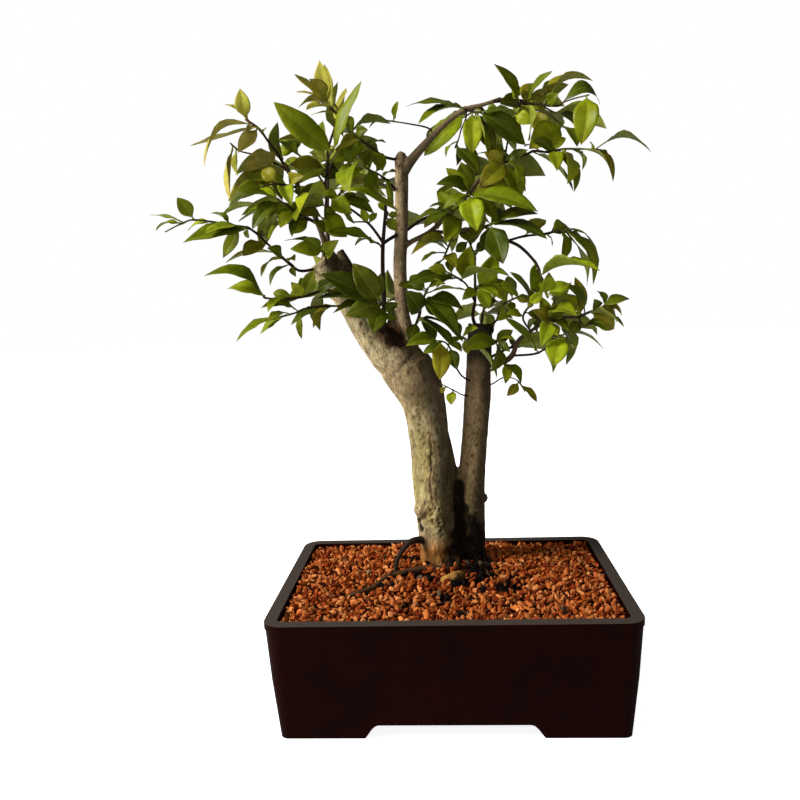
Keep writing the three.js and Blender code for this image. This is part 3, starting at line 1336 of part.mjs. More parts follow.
function granuleField() {
  const columns = Math.round(POT_WIDTH / GRANULE_PITCH);
  const rows = Math.round(POT_DEPTH / GRANULE_PITCH);
  const top = [];
  for (let j = 0; j <= rows; j += 1) {
    for (let i = 0; i <= columns; i += 1) {
      const x = (i / columns - 0.5) * POT_WIDTH + offRow();
      const y = (j / rows - 0.5) * POT_DEPTH + offRow();
      top.push(new THREE.Vector3(x, y, SOIL_EDGE + heap(x, y) + between(-GRANULE, GRANULE)));
    }
  }
  const faces = [];
  const edge = [];
  const at = (i, j) => j * (columns + 1) + i;
  for (let j = 0; j < rows; j += 1) {
    for (let i = 0; i < columns; i += 1) {
      const [a, b, c, d] = [at(i, j), at(i + 1, j), at(i + 1, j + 1), at(i, j + 1)];
      if ((i + j) % 2 === 0) faces.push(a, b, c, a, c, d);
      else faces.push(a, b, d, b, c, d);
    }
  }
  for (let i = 0; i < columns; i += 1) edge.push(at(i, 0));
  for (let j = 0; j < rows; j += 1) edge.push(at(columns, j));
  for (let i = columns; i > 0; i -= 1) edge.push(at(i, rows));
  for (let j = rows; j > 0; j -= 1) edge.push(at(0, j));
  const count = top.length;
  const below = edge.map((i) => top[i].clone().setZ(0));
  const bottom = count + below.length;
  edge.forEach((a, k) => {
    const next = (k + 1) % edge.length;
    faces.push(a, count + k, count + next, a, count + next, edge[next]);
    faces.push(bottom, count + next, count + k);
  });
  const points = [...top, ...below, new THREE.Vector3(0, 0, 0)];
  return toSolid(closedGeometry(points.flatMap((p) => [p.x, p.y, p.z]), faces));
}

function makeSoil(tree) {
  const bottom = FLOOR_TOP + CLEARANCE;
  const filling = toSolid(loft([
    potOutline(insideInset(bottom) + WALL_GAP, bottom),
    potOutline(insideInset(POT_HEIGHT) + WALL_GAP, POT_HEIGHT + SOIL_CROWN),
  ]));
  let soil = granuleField().intersect(filling).subtract(tree);
  for (const x of [-DRAIN_X, DRAIN_X]) {
    const room = SCREEN_SIZE / 2 + CLEARANCE;
    const pocket = extruded(square(room, x), SCREEN_THICKNESS + 2 * CLEARANCE);
    soil = soil.subtract(toSolid(pocket.translate(0, 0, FLOOR_TOP)));
  }
  return largestBody(soil);
}

const group = new THREE.Group();

function addPiece(name, geometry, look) {
  const mesh = new THREE.Mesh(geometry, new THREE.MeshStandardMaterial(look));
  mesh.name = name;
  group.add(mesh);
}

const tree = treeWith(0);
const treeRoom = treeWith(CLEARANCE);

addPiece("pot", toGeometry(makePot()), STONEWARE);
addPiece("drain_screen_left", toGeometry(screenSolid(-DRAIN_X)), PLASTIC_MESH);
addPiece("drain_screen_right", toGeometry(screenSolid(DRAIN_X)), PLASTIC_MESH);
addPiece("soil", toGeometry(makeSoil(treeRoom)), BAKED_CLAY);
addPiece("tree", toGeometry(tree), BARK);

for (const [name, members] of Object.entries(family)) {
  const solids = members.flatMap((member) => [wood[member].body, ...blades[member].map(bladeSolid)]);
  const look = YOUNG_SHOOTS.includes(name) ? YOUNG_LEAF : LEAF;
  addPiece(name, toGeometry(largestBody(joined(solids).subtract(treeRoom))), look);
}

// The origin moves from under the pot to under the middle of the whole object
group.position.set(-OBJECT_MIDDLE[0], -OBJECT_MIDDLE[1], 0);

export default group;
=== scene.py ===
# %% [markdown]
# # A jaboticaba bonsai in a stoneware pot
#
# The real thing is a small fruit tree with two trunks. It has smooth, flaking bark, dark wiry twigs
# and glossy lance-shaped leaves, and it grows in baked clay granules in a low, dark pot.
#
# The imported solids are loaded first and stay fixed. Each one gets either a procedural finish or
# finer pieces that keep its form. Lengths are written in millimetres round the pot's middle, as the
# solids were drawn, and are turned to metres at the last moment.

# %% The frame and the tools
import math
import random
from functools import partial

import bmesh
import bpy
import numpy as np
from mathutils import Matrix, Vector, noise
from mathutils.bvhtree import BVHTree
from mathutils.kdtree import KDTree


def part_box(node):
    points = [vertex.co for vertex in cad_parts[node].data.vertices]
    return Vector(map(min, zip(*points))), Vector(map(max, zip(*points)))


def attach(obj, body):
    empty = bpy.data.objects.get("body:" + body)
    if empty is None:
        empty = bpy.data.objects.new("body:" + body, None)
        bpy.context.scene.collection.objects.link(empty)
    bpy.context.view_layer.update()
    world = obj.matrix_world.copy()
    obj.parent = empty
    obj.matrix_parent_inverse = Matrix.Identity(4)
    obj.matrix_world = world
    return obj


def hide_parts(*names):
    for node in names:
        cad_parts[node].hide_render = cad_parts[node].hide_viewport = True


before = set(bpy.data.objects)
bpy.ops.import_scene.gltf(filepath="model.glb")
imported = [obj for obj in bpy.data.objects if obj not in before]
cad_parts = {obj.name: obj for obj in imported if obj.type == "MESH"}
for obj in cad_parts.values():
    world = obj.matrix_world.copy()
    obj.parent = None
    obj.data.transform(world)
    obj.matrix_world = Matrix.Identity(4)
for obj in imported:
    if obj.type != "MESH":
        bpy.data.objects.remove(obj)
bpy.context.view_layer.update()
pot_low, pot_high = (np.array(corner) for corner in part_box("pot"))
POT_MIDDLE = np.array([*((pot_low + pot_high) / 2)[:2], 0])
MM = 0.001
print("nodes:", len(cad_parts), "pot's middle:", POT_MIDDLE.round(4))


# %% [markdown]
# ## The camera
#
# The photograph's camera was worked out from the pot's rim and feet: it stands 65 cm in front of
# the pot's middle, 33 cm up, and looks slightly down and to the left. One helper turns a pixel and
# a depth into a point, because every leafy stem was read from the photograph that way.

# %% Camera and pixel rays
CAMERA_PLACE = np.array([1.0, -652.0, 330.0])
PITCH, YAW, ROLL = (math.radians(angle) for angle in (7.6, 3.4, -2.0))
FOCAL = 800  # pixels
PICTURE_MIDDLE = 400  # pixels from the top left corner, both ways
SENSOR_WIDTH = 36  # millimetres of film that stand for the picture's width

VIEW = np.array([-math.sin(YAW) * math.cos(PITCH), math.cos(YAW) * math.cos(PITCH), -math.sin(PITCH)])
LEVEL = np.array([math.cos(YAW), math.sin(YAW), 0.0])
STEEP = np.cross(LEVEL, VIEW)
RIGHTWARD = LEVEL * math.cos(ROLL) + STEEP * math.sin(ROLL)
UPWARD = STEEP * math.cos(ROLL) - LEVEL * math.sin(ROLL)


def in_metres(points):
    """Millimetres round the pot's middle to metres in the frame."""
    return np.asarray(points) * MM + POT_MIDDLE


def pixel_ray(u, v):
    offset = RIGHTWARD * (u - PICTURE_MIDDLE) + UPWARD * (PICTURE_MIDDLE - v)
    return VIEW + offset / FOCAL


def from_photo(u, v, depth):
    """The point at a pixel whose y is depth, in millimetres."""
    ray = pixel_ray(u, v)
    return CAMERA_PLACE + ray * (depth - CAMERA_PLACE[1]) / ray[1]


def to_photo(points):
    away = np.asarray(points) - CAMERA_PLACE
    scale = FOCAL / (away @ VIEW)
    return np.stack([PICTURE_MIDDLE + scale * (away @ RIGHTWARD),
                     PICTURE_MIDDLE - scale * (away @ UPWARD)], axis=-1)


camera_data = bpy.data.cameras.new("camera")
camera_data.sensor_width = SENSOR_WIDTH
camera_data.lens = SENSOR_WIDTH * FOCAL / (2 * PICTURE_MIDDLE)
camera_data.clip_start = 0.01
camera = bpy.data.objects.new("camera", camera_data)
bpy.context.collection.objects.link(camera)
camera_axes = Matrix(np.stack([RIGHTWARD, UPWARD, -VIEW], axis=1).tolist()).to_4x4()
camera.matrix_world = Matrix.Translation(in_metres(CAMERA_PLACE).tolist()) @ camera_axes
bpy.context.scene.camera = camera
print("camera at", [round(value, 3) for value in camera.location], "lens", camera_data.lens)


# %% [markdown]
# ## Materials
#
# A finish is a small graph of nodes: patterns on the left feed one shader on the right. A single
# helper adds a node, sets its values and joins its links, so every graph below reads top to bottom.
# Colours are written as the hex values that a picture shows, and turned to linear light here.

# %% Colour and node helpers
def to_linear(code):
    """An sRGB hex colour, such as #a89a78, as linear light with a full alpha."""
    values = [int(code[i:i + 2], 16) / 255 for i in (1, 3, 5)]
    return [v / 12.92 if v <= 0.04045 else ((v + 0.055) / 1.055) ** 2.4 for v in values] + [1.0]


def add_node(owner, kind, settings=None, links=None):
    """
    A node of a material or world, with its values and links. A name that is a socket sets or joins
    that socket, and a link from a whole node means its first output.
    """
    tree = owner.node_tree
    node = tree.nodes.new("ShaderNode" + kind)
    for name, value in (settings or {}).items():
        if isinstance(name, int) or name in node.inputs:
            node.inputs[name].default_value = value
        else:
            setattr(node, name, value)
    for name, source in (links or {}).items():
        output = source.outputs[0] if isinstance(source, bpy.types.Node) else source
        tree.links.new(output, node.inputs[name])
    return node


def new_material(name):
    """An empty material, and the helper that adds nodes to it."""
    material = bpy.data.materials.new(name)
    material.use_nodes = True
    material.node_tree.nodes.clear()
    return material, partial(add_node, material)


def set_stops(ramp, low, low_code, high, high_code):
    """Sets the two colour stops of a ramp, each a place and a hex colour."""
    for stop, place, code in zip(ramp.color_ramp.elements, (low, high), (low_code, high_code)):
        stop.position = place
        stop.color = to_linear(code)


NOISE_SPREAD = {"From Min": 0.3, "From Max": 0.7}  # nearly all of a noise texture lies between


# %% [markdown]
# ## Pieces
#
# Every piece is a mesh from a list of points and faces. It rides on the frame's root and gets its
# material. Where it stands for a solid, the solid's own plain mesh is hidden.

# %% Piece helpers
def new_object(name, points, faces, smooth=True):
    """A mesh object from points in millimetres."""
    mesh = bpy.data.meshes.new(name)
    mesh.from_pydata(in_metres(points).tolist(), [], faces)
    mesh.validate()
    mesh.shade_smooth() if smooth else mesh.shade_flat()
    obj = bpy.data.objects.new(name, mesh)
    bpy.context.collection.objects.link(obj)
    return obj


def gather(parts):
    """Joins (points, faces) pairs into one."""
    points, faces, start = [], [], 0
    for part_points, part_faces in parts:
        points.append(part_points)
        faces += [tuple(start + i for i in face) for face in part_faces]
        start += len(part_points)
    return np.concatenate(points), faces


def ring_faces(rings, sides):
    """The four-sided faces between closed rings of points that follow each other."""
    return [(r * sides + k, r * sides + (k + 1) % sides,
             (r + 1) * sides + (k + 1) % sides, (r + 1) * sides + k)
            for r in range(rings - 1) for k in range(sides)]


def add_modifier(obj, kind, **settings):
    modifier = obj.modifiers.new(kind.lower(), kind)
    for name, value in settings.items():
        setattr(modifier, name, value)


def apply_modifiers(obj):
    graph = bpy.context.evaluated_depsgraph_get()
    mesh = bpy.data.meshes.new_from_object(obj.evaluated_get(graph))
    obj.modifiers.clear()
    obj.data = mesh


def paint(mesh, name, colours):
    """Stores one linear colour for each vertex."""
    values = np.ones((len(mesh.vertices), 4), dtype=np.float32)
    values[:, :3] = colours
    mesh.attributes.new(name, "FLOAT_COLOR", "POINT").data.foreach_set("color", values.ravel())


def coat(obj, material):
    obj.data.materials.clear()
    obj.data.materials.append(material)


def finish_piece(obj, material, slot, *nodes):
    """Coats a piece, hangs it on the root body and hides the solids that it stands for."""
    coat(obj, material)
    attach(obj, "root")
    if nodes:
        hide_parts(*nodes)


def triangles(obj):
    return sum(len(face.vertices) - 2 for face in obj.data.polygons)


# %% [markdown]
# ## The floor and the light
#
# The photograph was taken in soft light from the upper left, in front of white. A wide pale disc
# stands for the floor. The camera sees a white world, but the world lights the tree much less than
# that, so that the inside of the crown stays dark. A large lamp at the upper left models the trunk,
# and a weak, wide one behind the camera keeps the shaded sides from going black. The floor adds
# light of its own for the camera alone, so that it fades into the white behind it.

# %% Floor
FLOOR_RADIUS = 6000  # far enough for its edge to fade into the white behind
FLOOR_SIDES = 96
FLOOR_GLOW = 0.86  # seen by the camera alone

floor_angles = np.arange(FLOOR_SIDES) * 2 * math.pi / FLOOR_SIDES
floor_edge = np.stack([np.cos(floor_angles), np.sin(floor_angles), 0 * floor_angles], axis=1)
floor = new_object("floor", floor_edge * FLOOR_RADIUS, [range(FLOOR_SIDES)])

floor_paper, add = new_material("matt_white_paper")
to_camera = add("LightPath").outputs["Is Camera Ray"]
glow = add("Math", {"operation": "MULTIPLY", 1: FLOOR_GLOW}, {0: to_camera})
paper_shader = add("BsdfPrincipled", {
    "Base Color": to_linear("#f6f6f6"), "Roughness": 0.9, "Specular IOR Level": 0.2,
    "Emission Color": to_linear("#ffffff")}, {"Emission Strength": glow})
add("OutputMaterial", links={"Surface": paper_shader})
coat(floor, floor_paper)
print("floor:", FLOOR_RADIUS * MM, "m in radius")

# %% World and lamps
WORLD_LIGHT = 0.19  # on the tree; the camera sees the world at 1
LAMP_AIM = Vector((0.0, 0.0, 0.25))  # the tree's middle height, in metres
LAMPS = {  # place and width in metres, watts
    "key_lamp": ((-1.5, -0.6, 1.3), 0.7, 70),
    "fill_lamp": ((0.1, -1.9, 0.9), 1.2, 5),
}

world = bpy.data.worlds.new("studio")
world.use_nodes = True
to_camera = add_node(world, "LightPath").outputs["Is Camera Ray"]
strength = add_node(world, "MapRange", {"To Min": WORLD_LIGHT, "To Max": 1.0}, {"Value": to_camera})
background = world.node_tree.nodes["Background"]
background.inputs["Color"].default_value = to_linear("#ffffff")
world.node_tree.links.new(strength.outputs[0], background.inputs["Strength"])
bpy.context.scene.world = world
bpy.context.scene.view_settings.view_transform = "Standard"

for name, (place, width, watts) in LAMPS.items():
    lamp_data = bpy.data.lights.new(name, "AREA")
    lamp_data.shape = "DISK"
    lamp_data.size = width
    lamp_data.energy = watts
    lamp = bpy.data.objects.new(name, lamp_data)
    lamp.location = place
    lamp.rotation_euler = (Vector(place) - LAMP_AIM).to_track_quat("Z", "Y").to_euler()
    bpy.context.collection.objects.link(lamp)
print("lamps:", ", ".join(LAMPS))


# %% [markdown]
# ## The tree's skeleton
#
# Everything that grows is a line with a radius: trunks, branches and the leafy stems. The thick wood
# is written in millimetres. The stems in front were read from the photograph, in its 800 by 800 pixel
# frame: a route is (u, v, depth), and a leaf is (foot u, foot v, tip u, tip v, tip's depth, width seen
# in pixels, and its bow where that is unusual). The far side, which the photograph doesn't show,
# follows a rule. These are the same values that the solids were made from, so the fine pieces lie
# where the solids lie.

# %% The wood: middle line and radii of each limb, in millimetres
LIMBS = {  # name: points, radii
    "trunk": ([(-6, 30, 58), (-6, 29, 84), (-7.5, 28, 104), (-13, 28, 150), (-15, 27, 204),
        (-19.2, 26, 236), (-26, 25, 256), (-33, 25, 270), (-36, 24, 280)],
        [26, 23, 18.3, 16.5, 17.4, 18.6, 21.8, 22, 14]),
    "second_trunk": ([(13, 38, 58), (15, 37, 84), (17, 37, 110), (19, 36, 148), (24, 36, 201),
        (27, 36, 236), (29, 36, 262), (31, 35, 301)], [18, 17, 14.5, 12.8, 10.8, 11.3, 10.8, 10.8]),
    "collar": ([(3, 38, 60), (3, 40, 110), (4, 42, 148), (4, 40, 158)], [20, 13, 9, 6.5]),
    "flare": ([(3, 38, 138), (3, 38, 151), (1, 35, 172), (-1, 31, 201), (-4, 28, 226)],
        [11, 10.2, 8, 4.5, 2]),
    "left_limb": ([(-36, 25, 271), (-47, 25, 281.5), (-62.5, 23, 300), (-76, 20, 322), (-89, 17, 343),
        (-100, 14, 359)], [20.5, 19, 13.8, 11.2, 12.3, 13.2]),
    "crotch": ([(-39, 27, 268), (-42, 27, 280), (-42.5, 27, 289), (-42, 27, 301), (-43, 28, 316)],
        [12, 10.5, 9.4, 6.6, 3.4]),
    "leader": ([(-27, 24, 266), (-28, 24, 281), (-31, 23, 299), (-34, 22, 312), (-35, 22, 328),
        (-35, 20, 353), (-33, 19, 378), (-32, 17, 401), (-31, 16, 425), (-31, 16, 438), (-29, 15, 444)],
        [9, 6.8, 5.2, 5.4, 5.6, 5.6, 5.6, 5.6, 5.6, 5.3, 1.8]),
    "right_branch": ([(-30, 16, 427), (-22, 15, 437), (-7.5, 13, 451.5), (8, 10, 464.5), (22, 6, 472),
        (35, 3, 474), (49, 2, 478)], [4.9, 4, 2.9, 2.3, 1.9, 1.6, 1.2]),
    "long_branch": ([(-35, 19, 364), (-26, 17, 371), (-9, 13, 379), (9, 8, 394), (23, 4, 407),
        (32, 2, 417), (50, -4, 429)], [2.8, 2.1, 1.9, 1.8, 1.8, 1.6, 1.4]),
    "low_branch": ([(-9, 13, 379), (11, 8, 377), (23, 2, 379), (34, -2, 380), (52, -8, 368)],
        [1.6, 1.5, 1.4, 1.3, 1.1]),
    "left_stem": ([(-98, 14, 355), (-96, 12, 373), (-107, 8, 405), (-125, 2, 436)], [3, 2.4, 2, 1.5]),
    "crown_stem": ([(-94, 17, 352), (-94, 18, 379), (-93, 19, 408), (-91, 18, 434)],
        [2.4, 1.9, 1.5, 1.3]),
    "dark_twig": ([(-54, 22, 290), (-49, 8, 312), (-48, 1, 330), (-48, 0, 349), (-47, 0, 370),
        (-44, -2, 394), (-44, -2, 401)], [2.4, 2.1, 1.9, 1.7, 1.6, 1.3, 1]),
    "dark_link": ([(-47, 0, 370), (-42, 9, 374), (-34, 18, 379)], [1.5, 1.4, 1.7]),
    "dead_stub": ([(-74, 21, 322), (-72, 25, 338), (-79, 27, 354), (-86, 28, 367)], [5, 4.6, 4.2, 3.6]),
    "right_low_branch": ([(29, 36, 268), (47, 28, 269), (56, 20, 275), (61, 12, 288), (71, 6, 296),
        (81, 0, 303), (93, -4, 306), (106, -8, 306)], [3.2, 2.8, 2.3, 1.8, 1.5, 1.4, 1.3, 1.2]),
    "burl": ([(-15, 25, 147), (-24, 19, 143), (-27, 17, 142)], [9.5, 7.2, 4.6]),
    "knob": ([(22, 36, 151), (33.5, 34, 149.5)], [7, 3.2]),
    "arch_root": ([(-12, 23, 110), (-21, 18, 117), (-31, 10, 120), (-38, 6, 116), (-43, 4, 109),
        (-46, 3, 101), (-48, 2, 84)], [4.4, 3.6, 2.8, 2.2, 2.0, 1.9, 1.7]),
    "surface_root": ([(-6, 18, 86), (2, 12, 91), (-3, 5, 95), (-17, 2, 98), (-33, 0, 97),
        (-43, -3, 95.5), (-51, -6, 94.8), (-56, -15, 94.2), (-61, -25, 93.3), (-67, -30, 92),
        (-76, -34, 90.8), (-85, -35, 88)], [5, 4, 2.9, 2.6, 2.4, 2.3, 2.2, 2.1, 2.1, 2, 1.9, 1.6]),
    "knuckle_root": ([(10, 12, 82), (8, -6, 93), (-2, -15, 93), (-10, -20, 84)], [6, 5.5, 5.5, 4]),
    "right_root": ([(18, 28, 86), (30, 14, 92), (40, 2, 86), (48, -8, 76)], [8, 6, 5, 3.5]),
    "deep_root_left": ([(-8, 32, 70), (-40, 36, 66), (-70, 32, 58), (-94, 24, 50)], [6.3, 5, 3.5, 2.2]),
    "deep_root_right": ([(14, 38, 70), (48, 36, 64), (78, 24, 56), (102, 8, 48)], [6.3, 5, 3.5, 2.2]),
    "deep_root_back": ([(0, 40, 72), (8, 62, 64), (2, 78, 54)], [6.3, 4, 2.4]),
    "deep_root_front": ([(-2, 18, 68), (-12, -20, 60), (6, -52, 52), (-6, -74, 44)],
        [6.3, 5, 3.5, 2.2]),
}

# %% The leafy stems in front, read from the photograph
DEEPEN = 1.8  # a judged depth is stretched by this much, which gives the crown its depth
OWN_DEEPEN = {"branch_diagonal": 1, "branch_upright": 1, "twig_left_reach": 1.35}
DEEPEST = 70

